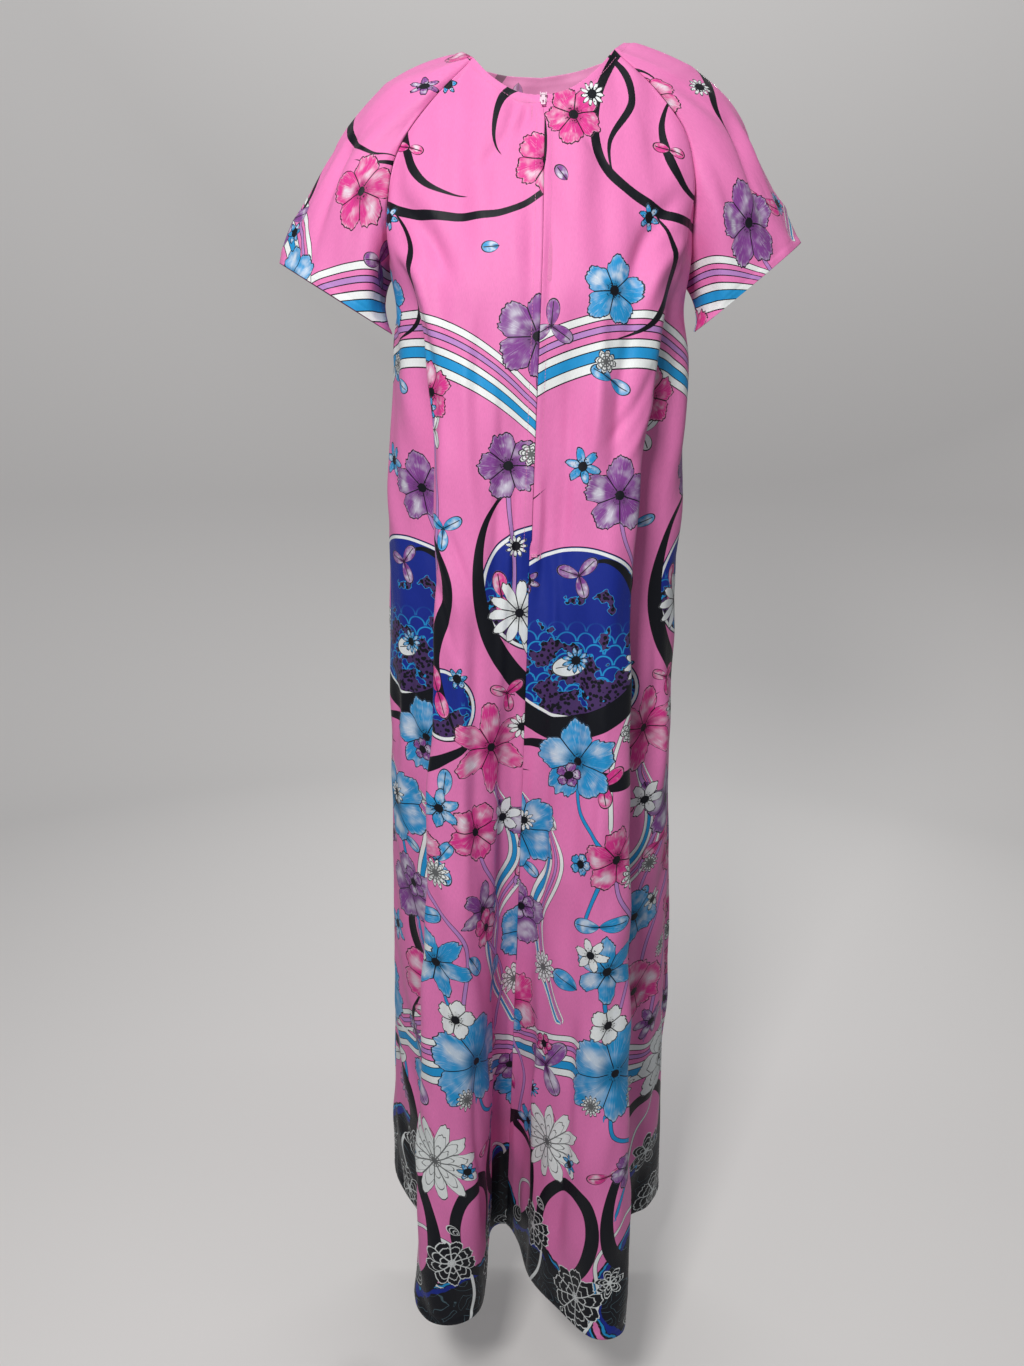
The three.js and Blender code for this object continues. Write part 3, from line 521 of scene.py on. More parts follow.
def nearest_motif(centres, motifs):
    """For each mesh face, which motif of a layer reaches it, or -1, and that repeat's shift."""
    which, shift = np.full(len(centres), -1), np.zeros(len(centres))
    best = np.full(len(centres), 1e9)
    for i, (s, t, r, *_) in enumerate(motifs):
        reach = r + MOTIF_MARGIN
        for k in repeats(centres, s - reach, s + reach):
            d = np.hypot(centres[:, 0] - s - k, centres[:, 1] - t) - r
            hit = (d < MOTIF_MARGIN) & (d < best)
            which[hit], shift[hit], best[hit] = i, k, d[hit]
    return which, shift


# Creases that lie on the folds: width, height (a trough is a minus number), then the line, in each piece's
# own cloth places, across from its centre edge and by height. On a sleeve these are round from its top line,
# and up from its cuff.
CREASES = {
    "front_right": [
        (34, -7.5, [(-132, -290), (-136, -560), (-152, -700), (-188, -900), (-234, -1100), (-286, -1330)]),
        (10, 2.6, [(-106, -330), (-102, -560), (-112, -700), (-141, -900), (-180, -1100), (-226, -1330)]),
        (9, -3.0, [(-140, -150), (-112, -186), (-84, -230)]),
        (8, 2.4, [(-146, -196), (-116, -232), (-96, -300)]),
        (8, -2.2, [(-122, -240), (-104, -330), (-98, -460)]),
        (7, 1.8, [(-60, -240), (-66, -330), (-58, -460)]),
        (6, -1.6, [(-34, -300), (-30, -400), (-36, -520)]),
        (4, -1.6, [(-13, -400), (-15, -460), (-11, -530)]),
        (5, 1.6, [(-20, -450), (-24, -520), (-30, -640)]),
        (9, -2.4, [(-50, -520), (-58, -640), (-62, -820)]),
        (7, 2.0, [(-72, -600), (-78, -740), (-92, -900)]),
        (8, -2.0, [(-120, -880), (-142, -1040), (-152, -1220)]),
        (10, 2.2, [(-190, -980), (-200, -1120), (-214, -1310)]),
        (8, -2.2, [(-240, -1040), (-246, -1180), (-252, -1340)]),
        (5, -1.3, [(-26, -70), (-36, -100), (-62, -132)]),
        (4, -1.2, [(-14, -66), (-16, -80), (-24, -98)]),
        (4, 1.0, [(-20, -66), (-24, -80), (-34, -96)]),
        (9, 2.0, [(-220, -620), (-236, -720), (-262, -860)]),
        (8, -2.2, [(-204, -540), (-214, -640), (-222, -770)]),
        (5, -1.3, [(-92, -452), (-74, -486), (-52, -548)]),
        (5, 1.1, [(-98, -478), (-82, -510), (-62, -570)]),
        (5, -1.1, [(-104, -508), (-90, -540), (-72, -596)]),
        (7, -1.8, [(-24, -660), (-26, -780), (-36, -900)]),
        (7, 1.5, [(-150, -640), (-160, -760), (-180, -900)]),
        (8, -1.7, [(-94, -1000), (-110, -1120), (-116, -1280)]),
        (7, 1.5, [(-44, -960), (-52, -1090), (-66, -1240)]),
    ],
    "front_left": [
        (34, -7.5, [(140, -290), (148, -560), (166, -700), (204, -900), (253, -1100), (308, -1330)]),
        (10, 2.6, [(116, -330), (112, -560), (125, -700), (156, -900), (196, -1100), (244, -1330)]),
        (9, -3.2, [(140, -140), (108, -182), (84, -236)]),
        (8, 2.6, [(148, -186), (112, -226), (92, -290)]),
        (8, -2.2, [(100, -236), (84, -320), (76, -440)]),
        (7, 1.8, [(60, -230), (62, -330), (54, -430)]),
        (6, -1.5, [(30, -300), (34, -400), (30, -500)]),
        (4, -1.6, [(13, -410), (15, -460), (11, -530)]),
        (5, 1.5, [(22, -470), (28, -560), (30, -680)]),
        (8, -2.2, [(52, -520), (58, -640), (66, -820)]),
        (7, 2.0, [(84, -620), (96, -760), (112, -920)]),
        (9, -2.1, [(130, -880), (150, -1040), (166, -1250)]),
        (9, 2.2, [(206, -990), (222, -1120), (238, -1310)]),
        (7, -2.0, [(264, -1040), (274, -1180), (284, -1340)]),
        (5, -1.2, [(30, -72), (40, -100), (66, -128)]),
        (9, 2.0, [(236, -620), (250, -720), (278, -870)]),
        (8, -2.2, [(216, -540), (226, -640), (238, -770)]),
        (5, -1.2, [(120, -300), (100, -340), (70, -380)]),
        (5, 1.0, [(126, -326), (108, -366), (80, -410)]),
        (7, -1.7, [(26, -700), (30, -820), (40, -940)]),
        (7, 1.6, [(160, -640), (170, -760), (190, -900)]),
        (8, -1.8, [(98, -1000), (112, -1120), (122, -1290)]),
        (7, 1.4, [(48, -980), (56, -1100), (70, -1250)]),
    ],
    "back": [
        (10, -4.7, [(-150, -150), (-110, -200), (-60, -220)]),
        (10, -4.7, [(150, -140), (104, -196), (50, -214)]),
        (12, 3.7, [(-70, -120), (0, -150), (72, -116)]),
        (9, -3.4, [(-60, -300), (-50, -420), (-60, -540)]),
        (9, 3.4, [(20, -260), (30, -400), (24, -560)]),
        (8, -3.1, [(90, -300), (100, -420), (92, -560)]),
        (10, 3.4, [(-110, -520), (-120, -700), (-130, -900)]),
        (10, -3.4, [(-30, -620), (-36, -800), (-40, -1000)]),
        (9, 3.3, [(50, -660), (56, -860), (64, -1100)]),
        (9, -3.3, [(130, -600), (140, -800), (154, -1000)]),
        (11, 3.4, [(-70, -1000), (-76, -1150), (-84, -1330)]),
        (10, -3.3, [(96, -1060), (104, -1200), (110, -1340)]),
        (9, -3.1, [(-170, -700), (-186, -900), (-206, -1140)]),
        (9, 3.1, [(190, -760), (204, -940), (220, -1180)]),
    ],
    "sleeve_right": [
        (46, -3.6, [(0, 40), (0, 130), (0, 210)]),
        (8, -3.0, [(-64, 30), (-44, 110), (-12, 170)]),
        (8, 2.2, [(-88, 24), (-74, 90), (-48, 150)]),
        (7, -2.0, [(-24, 8), (-16, 70), (10, 130)]),
        (8, -2.4, [(70, 24), (56, 90), (30, 150)]),
        (6, 1.6, [(34, 14), (36, 80), (24, 150)]),
        (5, -1.2, [(-52, 10), (-40, 40), (-18, 78)]),
        (5, 1.0, [(-36, 6), (-26, 36), (-4, 70)]),
    ],
    "sleeve_left": [
        (46, -3.6, [(0, 40), (0, 130), (0, 210)]),
        (8, -3.4, [(64, 30), (46, 110), (12, 176)]),
        (8, 2.4, [(88, 24), (74, 90), (48, 150)]),
        (6, -2.0, [(26, 8), (18, 70), (-10, 130)]),
        (8, -2.4, [(-70, 24), (-56, 90), (-30, 150)]),
        (6, 1.6, [(-34, 14), (-36, 80), (-24, 150)]),
        (5, -1.5, [(58, 6), (36, 34), (0, 60)]),
        (5, 1.2, [(48, 4), (26, 26), (-8, 44)]),
        (5, -1.3, [(76, 22), (54, 56), (16, 84)]),
    ],
}
# Broad unevenness of hanging cloth: height, wavelength across, wavelength down, phase.
UNEVENNESS = [
    (1.3, 74, 620, 0.4), (1.0, -47, 410, 2.1), (0.6, 33, 270, 4.0), (0.9, -120, 150, 1.3), (0.5, 58, 96, 5.2),
]
CREASE_DEPTH = 2.2  # how much deeper than its own height each crease is pressed
CREASE_REACH = 3.5  # how many widths a crease's slope runs out over


def crease_height(name, uv):
    out = np.zeros(len(uv))
    for width, height, points in CREASES[name]:
        _, d, along = to_path(uv, points, CREASE_REACH * width)
        ends = np.sin(np.pi * np.clip(along, 0.02, 0.98)) ** 0.7
        out += CREASE_DEPTH * height * np.exp(-((d / width) ** 2)) * ends
    for height, across, down, phase in UNEVENNESS:
        out += height * np.sin(2 * np.pi * (uv[:, 0] / across + uv[:, 1] / down) + phase)
    return out


# Meshes.
def spaced(length):
    """Places from 0 to a length, a cell apart, and closer at its ends for a seam or a turned edge."""
    ends = np.array([0, 0.8, 1.8, 3.2, 5.0, 7.0, 8.6, 10.4])
    count = max(2, int(round((length - 2 * ends[-1]) / CELL)))
    middle = np.linspace(ends[-1], length - ends[-1], count + 1)[1:-1]
    return np.concatenate([ends, middle, length - ends[::-1]])


def grid_normals(p):
    down, across = np.gradient(p, axis=0), np.gradient(p, axis=1)
    n = np.cross(across, down)
    n = n / np.maximum(np.linalg.norm(n, axis=-1, keepdims=True), 1e-9)
    return n if (n * (p - p.reshape(-1, 3).mean(0))).sum() > 0 else -n


def edge_profile(distance, kind):
    """How a piece's cloth stands off near an edge: sunk into a seam, thick where it is turned and stitched,
    or standing over the zip."""
    if kind == "seam":
        return -0.75 * np.exp(-((distance / 1.7) ** 2))
    if kind == "lap":
        return 1.25 * (1 - ease(distance / 16))
    thick = 0.45 * (1 - ease((distance - 5.5) / 3.5))
    return thick - 0.35 * np.exp(-(((distance - 7.2) / 1.2) ** 2))


def add_attribute(mesh, name, domain, values):
    """Stores three numbers, or a colour's four, for each point or face corner."""
    kind, field = ("FLOAT_COLOR", "color") if values.shape[-1] == 4 else ("FLOAT_VECTOR", "vector")
    made = mesh.attributes.new(name, kind, domain)
    made.data.foreach_set(field, np.ascontiguousarray(values, np.float32).ravel())


def new_object(name, verts, faces):
    mesh = bpy.data.meshes.new(name)
    mesh.from_pydata([tuple(v) for v in verts], [], [tuple(f) for f in faces])
    mesh.polygons.foreach_set("use_smooth", [True] * len(mesh.polygons))
    obj = bpy.data.objects.new(name, mesh)
    bpy.context.scene.collection.objects.link(obj)
    return obj


def shell_faces(rows, columns, outward):
    """Faces of a closed shell on a grid: outside, inside and rims, and the grid cell that each is on."""
    index = np.arange(rows * columns).reshape(rows, columns)
    cell = np.arange((rows - 1) * (columns - 1)).reshape(rows - 1, columns - 1)
    quads = np.stack([index[:-1, :-1], index[1:, :-1], index[1:, 1:], index[:-1, 1:]], -1).reshape(-1, 4)
    lines = [(index[0], cell[0]), (index[-1, ::-1], cell[-1, ::-1]), (index[::-1, 0], cell[::-1, 0])]
    lines.append((index[:, -1], cell[:, -1]))
    below = rows * columns
    rims = np.concatenate([np.stack([p[:-1], p[1:], p[1:] + below, p[:-1] + below], -1) for p, _ in lines])
    turned = slice(None, None, 1 if outward(quads) else -1)
    faces = np.concatenate([quads[:, turned], quads[:, turned][:, ::-1] + below, rims[:, turned]])
    cells = np.concatenate([cell.ravel(), cell.ravel()] + [c for _, c in lines])
    return quads, faces, cells, len(rims)


def cloth_piece(name, points, uv, offset, edges):
    """One cloth piece: a thin closed shell from a grid of outer points, with its print and its map. "uv" is
    each point's place on the piece's own cloth, "offset" moves that to the print, and "edges" holds how far
    each point is from each kind of edge."""
    rows, columns = points.shape[:2]
    count = rows * columns
    free = ease(np.minimum.reduce([d for d, _ in edges]) / 12)
    lift = crease_height(name, uv.reshape(-1, 2)).reshape(rows, columns) * free
    lift = lift + sum(edge_profile(distance, kind) for distance, kind in edges)
    outer = points + grid_normals(points) * lift[..., None]
    normals = grid_normals(outer)
    flat = outer.reshape(-1, 3)

    def outward(quads):
        a, b, c, d = (flat[quads[:, i]] for i in range(4))
        return (np.cross(c - a, d - b) * normals.reshape(-1, 3)[quads[:, 0]]).sum() > 0

    quads, faces, cells, rims = shell_faces(rows, columns, outward)
    verts = np.concatenate([flat, (outer - normals * CLOTH).reshape(-1, 3)]) * MM
    obj = new_object(name + "_cloth", verts, faces)
    add_print(obj.data, uv.reshape(-1, 2) + offset, count, quads, faces, cells)
    # The map: the piece's outside and inside lie side by side, each as it was cut.
    span = uv.reshape(-1, 2)
    place = (span - span.min(0)) / np.ptp(span, axis=0) * (0.47, 0.97) + (0.01, 0.015)
    corners = np.concatenate([place, place + (0.5, 0)])[faces]
    corners[-rims:] = place[faces[-rims:] % count]
    obj.data.uv_layers.new(name="OFBake").uv.foreach_set("vector", corners.astype(np.float32).ravel())
    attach(obj, "garment")
    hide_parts(name)
    return {"object": obj, "outer": outer, "normals": normals, "uv": uv, "edges": edges}


def add_print(mesh, st, count, quads, faces, cells):
    """Puts the print's fields and motifs on a mesh, as attributes that its material draws from."""
    both = lambda x: np.concatenate([x, x])
    mound, fields = print_fields(st)
    inside = np.repeat([0.0, 1.0], count)
    add_attribute(mesh, "cloth", "POINT", np.column_stack([both(st), inside]))
    add_attribute(mesh, "hem", "POINT", np.column_stack([both(mound), inside, inside]))
    for name, values in fields.items():
        add_attribute(mesh, name, "POINT", both(values))
    corner = faces % count
    centres = st[quads].mean(1)
    discs = [(s, t, r, 0.0) for s, t, r in DISCS]
    for layer, motifs in [("disc", discs)] + sorted(MOTIFS.items()):
        which, shift = (x[cells] for x in nearest_motif(centres, motifs))
        table = np.array([m[:4] for m in motifs] + [(0, 0, 30, 0)], float)[which][:, None]
        local = st[corner] - table[..., :2]
        local[..., 0] -= shift[:, None]
        cos, sin = np.cos(table[..., 3]), np.sin(table[..., 3])
        x = (local[..., 0] * cos + local[..., 1] * sin) / table[..., 2]
        y = (local[..., 1] * cos - local[..., 0] * sin) / table[..., 2]
        none = (which < 0)[:, None]
        size = np.broadcast_to(table[..., 2], x.shape)
        # A face with no motif is given a place far outside one.
        place = np.stack([np.where(none, 9, x), np.where(none, 9, y), size], -1)
        add_attribute(mesh, f"{layer}_at", "CORNER", place)
        if layer != "disc":
            shapes = np.array([SHAPES[m[4]] for m in motifs] + [SHAPES["blossom"]], float)[which]
            inks = np.array([INK[m[5]] for m in motifs] + [INK["pink"]], float)[which]
            ink = np.column_stack([inks, shapes[:, 3]])
            add_attribute(mesh, f"{layer}_form", "CORNER", np.repeat(shapes[:, None, :3], 4, 1))
            add_attribute(mesh, f"{layer}_ink", "CORNER", np.repeat(ink[:, None], 4, 1))


def by_length(curve, start, stop):
    """Places in a curve's own range that are a mesh spacing apart along it."""
    fine = np.linspace(start, stop, 900)
    arc = arc_lengths(curve(fine))
    return np.interp(spaced(arc[-1]), arc, fine)


def snapped(places, marks):
    """The same places, with the nearest to each mark moved onto it."""
    for mark in marks:
        if places[0] < mark < places[-1]:
            places[np.abs(places - mark).argmin()] = mark
    return places


def zip_share(z):
    """1 beside the zip, and 0 above and below it."""
    return ease((ZIP_START_Z - z) / 14) * ease((z - ZIP_END_Z) / 10)


def edge_of(where, distance, kind):
    """An edge of one kind that only some places of a piece have."""
    return np.where(where, distance, FAR), kind


def body_piece(name, start, stop, offset):
    """A front or the back, between two places in the fold table."""
    across = by_length(lambda row: body(row, 0.75), start, stop)
    across = snapped(across, (FRONT_CORNER, BACK_CORNER, AROUND - BACK_CORNER, AROUND - FRONT_CORNER))
    down = spaced(BODY_CLOTH) / BODY_CLOTH
    r, s = np.meshgrid(across, down)
    points = body(r, s)
    steps = np.linalg.norm(np.diff(points[..., :2], axis=1), axis=-1)
    u = np.concatenate([np.zeros((len(down), 1)), np.cumsum(steps, axis=1)], axis=1)
    middle = {"front_left": len(across) - 1, "back": np.abs(across - CENTRE_BACK).argmin()}.get(name, 0)
    u = u - u[:, [middle]]
    z = points[..., 2]
    uv = np.stack([u if name == "back" else -u, z], -1)
    wrapped = np.mod(across, AROUND)
    at = np.where(wrapped > CENTRE_BACK, AROUND - wrapped, wrapped)
    from_top = s * (z[0] - z[-1])
    neckline = ((at <= FRONT_CORNER + 1e-6) | (at >= BACK_CORNER - 1e-6))[None]
    first, last = np.abs(u - u[:, :1]), np.abs(u - u[:, -1:])
    edges = [edge_of(neckline, from_top, "turned"), edge_of(~neckline, from_top, "seam")]
    edges.append((from_top[-1:] - from_top, "turned"))
    if name == "back":
        edges += [(first, "seam"), (last, "seam")]
    else:
        centre, side = (first, last) if name == "front_right" else (last, first)
        opening = z > ZIP_END_Z
        edges += [(side, "seam"), edge_of(~opening, centre, "seam"), edge_of(opening, centre, "turned")]
        moved = zip_share(z) * (1 - ease(centre / 12))
        points[..., 0] += moved * (LAP if name == "front_right" else SHOWN)
        if name == "front_right":
            edges.append((FAR - (FAR - np.minimum(centre, FAR)) * zip_share(z), "lap"))
    return cloth_piece(name, points, uv, offset, edges)


def sleeve_piece(name, offset):
    sizes = SLEEVES[name]
    around = by_length(lambda at: sleeve(sizes, at, 0.8), 0, 1)
    around = snapped(around, (SLEEVE_FRONT_CORNER, SLEEVE_BACK_CORNER))
    down = spaced(SLEEVE_CLOTH) / SLEEVE_CLOTH
    a, s = np.meshgrid(around, down)
    points = sleeve(sizes, a, s)
    arc = arc_lengths(points[int(len(down) * 0.8)])
    arc = arc - arc[np.abs(around - 0.5).argmin()]
    steps = np.linalg.norm(np.diff(points, axis=0), axis=-1)
    below = np.concatenate([np.cumsum(steps[::-1], axis=0)[::-1], np.zeros((1, len(around)))])
    uv = np.stack([sizes["side"] * np.broadcast_to(arc, below.shape), below], -1)
    from_top = below[:1] - below
    neck = ((around >= SLEEVE_FRONT_CORNER - 1e-6) & (around <= SLEEVE_BACK_CORNER + 1e-6))[None]
    edges = [edge_of(neck, from_top, "turned"), edge_of(~neck, from_top, "seam")]
    edges += [(np.abs(uv[..., 0] - uv[:, [k], 0]), "seam") for k in (0, -1)]
    edges.append((below, "turned"))
    return cloth_piece(name, points, uv, offset, edges)


PIECES = {
    "front_right": body_piece("front_right", 0, SIDE_SEAM, (330.0, 0.0)),
    "front_left": body_piece("front_left", AROUND - SIDE_SEAM, AROUND, (70.0, 0.0)),
    "back": body_piece("back", SIDE_SEAM, AROUND - SIDE_SEAM, (200.0, 0.0)),
    "sleeve_right": sleeve_piece("sleeve_right", (560.0, -330.0)),
    "sleeve_left": sleeve_piece("sleeve_left", (420.0, -330.0)),
}


# Materials.
class Value:
    """A number that flows through a material's nodes, written with ordinary signs."""

    def __init__(self, nodes, socket):
        self.nodes, self.socket = nodes, socket

    def made(self, operation, *others):
        return self.nodes.math(operation, self, *others)

    def __rsub__(self, other):
        return self.nodes.math("SUBTRACT", other, self)

    __add__ = __radd__ = partialmethod(made, "ADD")
    __sub__ = partialmethod(made, "SUBTRACT")
    __mul__ = __rmul__ = partialmethod(made, "MULTIPLY")
    __truediv__ = partialmethod(made, "DIVIDE")
    __pow__ = partialmethod(made, "POWER")
    __abs__ = partialmethod(made, "ABSOLUTE")
    either = partialmethod(made, "MAXIMUM")

    def band(self, low, high, soft):
        """1 between two values, with soft edges."""
        return self.step(low - soft, low) * self.step(high + soft, high)

    def step(self, low, high):
        """0 below low to 1 above high, smoothly, or the other way round if high is the lower."""
        ends = (0.0, 1.0) if high > low else (1.0, 0.0)
        inputs = dict(enumerate((self, min(low, high), max(low, high), *ends)))
        made = self.nodes.output("ShaderNodeMapRange", inputs, interpolation_type="SMOOTHSTEP")
        return Value(self.nodes, made)


class Nodes:
    """Short ways to write a material's nodes."""

    def __init__(self, name):
        self.material = bpy.data.materials.new(name)
        self.material.use_nodes = True
        self.tree = self.material.node_tree
        self.tree.nodes.clear()
        self.out = self.add("ShaderNodeOutputMaterial")

    def add(self, kind, **settings):
        node = self.tree.nodes.new(kind)
        for key, value in settings.items():
            setattr(node, key, value)
        return node

    def put(self, socket, value):
        if isinstance(value, Value):
            value = value.socket
        if isinstance(value, bpy.types.NodeSocket):
            self.tree.links.new(value, socket)
        elif value is not None:
            socket.default_value = (*value, 1) if socket.type == "RGBA" and len(value) == 3 else value

    def output(self, kind, inputs, output=0, **settings):
        """Adds a node, with values on its inputs by name or place, and gives one of its outputs."""
        node = self.add(kind, **settings)
        for key, value in inputs.items():
            self.put(node.inputs[key], value)
        return node.outputs[output]

    def math(self, operation, *values):
        return Value(self, self.output("ShaderNodeMath", dict(enumerate(values)), operation=operation))

    def mix(self, factor, a, b):
        return self.output("ShaderNodeMix", {0: factor, 6: a, 7: b}, 2, data_type="RGBA")

    def attribute(self, name):
        return self.add("ShaderNodeAttribute", attribute_name=name).outputs

    def xyz(self, vector):
        node = self.add("ShaderNodeSeparateXYZ")
        self.put(node.inputs[0], vector)
        return [Value(self, socket) for socket in node.outputs]

    def vector(self, *values):
        return self.output("ShaderNodeCombineXYZ", dict(enumerate(values)))

    def noise(self, vector, scale, detail=2.0, roughness=0.5):
        inputs = dict(Vector=vector, Scale=scale, Detail=detail, Roughness=roughness)
        return Value(self, self.output("ShaderNodeTexNoise", inputs))

    def cells(self, vector, scale, feature="F1"):
        inputs = dict(Vector=vector, Scale=scale)
        return Value(self, self.output("ShaderNodeTexVoronoi", inputs, "Distance", feature=feature))

    def stops(self, factor, stops):
        """Flat colours, each from its place to the next one's."""
        node = self.add("ShaderNodeValToRGB")
        node.color_ramp.interpolation = "CONSTANT"
        elements = node.color_ramp.elements
        while len(elements) < len(stops):
            elements.new(0.5)
        for element, (place, _) in zip(elements, stops):
            element.position = place
        for element, (_, colour) in zip(elements, stops):
            element.color = (*colour, 1)
        self.put(node.inputs[0], factor)
        return node.outputs[0]

    def bump(self, height, strength, distance, normal=None):
        inputs = dict(Height=height, Strength=strength, Distance=distance, Normal=normal)
        return self.output("ShaderNodeBump", inputs)

    def surface(self, **values):
        node = self.add("ShaderNodeBsdfPrincipled")
        for key, value in values.items():
            self.put(node.inputs[key.replace("_", " ")], value)
        self.tree.links.new(node.outputs[0], self.out.inputs[0])
        return self.material


def petals(m, layer, colour):
    """Draws one layer of petalled motifs over a colour."""
    at = m.attribute(f"{layer}_at")["Vector"]
    x, y, size = m.xyz(at)
    count, depth, point = m.xyz(m.attribute(f"{layer}_form")["Vector"])
    ink = m.attribute(f"{layer}_ink")
    style = Value(m, ink["Alpha"])
    art, on_white = style.step(0.4, 0.6), style.step(1.4, 1.6)
    flower = depth.step(0.9, 0.6)
    r = (x * x + y * y) ** 0.5
    theta = m.math("ARCTAN2", y, x)
    cos, sin = m.math("COSINE", theta), m.math("SINE", theta)
    half_turn = theta * count * 0.5
    lobe = abs(m.math("COSINE", half_turn))
    valley = abs(m.math("SINE", half_turn))
    # The outline, ruffled on flowers.
    ruffle = m.noise(m.vector(cos, sin, size), 3.4, 2.0, 0.6) - 0.5
    fine = m.noise(m.vector(cos, sin, size), 11.0, 1.0, 0.5) - 0.5
    reach = 1 - depth * (1 - lobe ** point)
    reach = reach * (0.92 + (ruffle * 0.42 + fine * 0.1) * flower)
    share = r / reach.either(0.02)
    off = (r - reach) * size * 0.8
    inside = off.step(0.45, -0.05)
    outline = off.step(-1.15, -0.7) * inside
    # Painted petals: pale along their middles, deep at the heart, with brushed streaks.
    streak = m.noise(m.vector(cos * 9, sin * 9, r * 1.2), 2.6, 3.0, 0.6)
    cloudy = m.noise(at, 2.2, 2.0, 0.5)
    middle = share.step(0.15, 0.5) * share.step(1.0, 0.66) * (0.3 + lobe * 0.6) * cloudy.step(0.4, 0.66)
    rim = share.step(0.86, 1.0) * streak.step(0.35, 0.6)
    pale = (middle * 0.8 + streak.step(0.54, 0.74) * 0.35 + rim * 0.45).made("MINIMUM", 1.0)
    deep = m.mix(0.55, ink["Color"], INK["black"])
    shaded = m.mix(pale, ink["Color"], (0.82, 0.86, 0.9))
    shaded = m.mix(share.step(0.5, 0.12) * 0.75, shaded, deep)
    # Lines between petals and along a leaf's middle, and stamens.
    across = r * 2 / count * size
    split = (across * lobe).step(0.75, 0.4) * share.step(0.16, 0.2)
    rib = (across * valley).step(0.62, 0.3) * depth.step(0.6, 0.9) * share.step(0.9, 0.86)
    heart = (r * size).step(5.0, 4.4) * flower
    dots = m.cells(m.attribute("cloth")["Vector"], 0.5).step(0.38, 0.3) * (r * size).step(11.0, 6.5) * flower
    drawn = m.mix(split.either(rib).either(heart.either(dots)), shaded, INK["black"])
    # Line-art: pale contours on a dark ground.
    wave = abs(m.math("FRACT", share * 3.4) - 0.5) * size / 3.4
    contour = wave.step(1.0, 0.5).either((across * lobe).step(0.9, 0.5))
    ground, line = m.mix(on_white, INK["black"], INK["white"]), m.mix(on_white, INK["white"], INK["black"])
    drawn = m.mix(art, drawn, m.mix(contour * 0.85, ground, line))
    drawn = m.mix(outline, drawn, m.mix(art, INK["black"], line))
    return m.mix(inside, colour, drawn)


def border(m, colour, s, t, mound):
    """The dark mounds along the hem, with fine pale scrolls in them and striped rims."""
    edge = mound + (m.noise(m.vector(s, t), 0.06) - 0.5) * 16
    bent = m.vector(s + m.noise(m.vector(s, t), 0.05, 1.0) * 30, t)
    scroll = abs(m.math("FRACT", m.cells(bent, 0.04, "DISTANCE_TO_EDGE") * 5) - 0.5)
    dark = m.mix(scroll.step(0.05, 0.02) * 0.16, INK["black"], INK["pale_sky"])
    dark = m.mix(edge.band(-13, -8, 0.6), dark, INK["navy"])
    dark = m.mix(edge.band(-6.2, -3.6, 0.5), dark, INK["sky"])
    return m.mix(edge.step(0.3, -0.3), colour, dark)


def discs(m, colour, s, t):
    """Navy discs with rows of waves below and dark lace round them."""
    x, y, size = m.xyz(m.attribute("disc_at")["Vector"])
    edge = ((x * x + y * y) ** 0.5 - 1) * size
    row = m.math("FLOOR", t / 11)
    sx = (m.math("FRACT", s / 20 + row * 0.5) - 0.5) * 20
    sy = m.math("FRACT", t / 11) * 11
    wave = ((sx * sx + sy * sy) ** 0.5).band(8.6, 9.8, 0.4) * y.step(0.2, -0.1)
    drawn = m.mix(wave, INK["navy"], INK["sky"])
    lace = m.cells(m.vector(s, t), 0.24).step(0.52, 0.42)
    patch = (m.noise(m.vector(s, t), 0.035, 3.0) + y * -0.16).step(0.53, 0.56)
    drawn = m.mix(patch, drawn, m.mix(lace, (0.07, 0.035, 0.13), INK["black"]))
    drawn = m.mix((patch - 0.5).band(-0.25, 0.25, 0.1), drawn, INK["sky"])
    drawn = m.mix(edge.band(-4.6, -1.8, 0.4), drawn, INK["white"])
    drawn = m.mix(edge.step(-1.2, -0.8), drawn, INK["black"])
    return m.mix(edge.step(0.2, -0.2), colour, drawn)


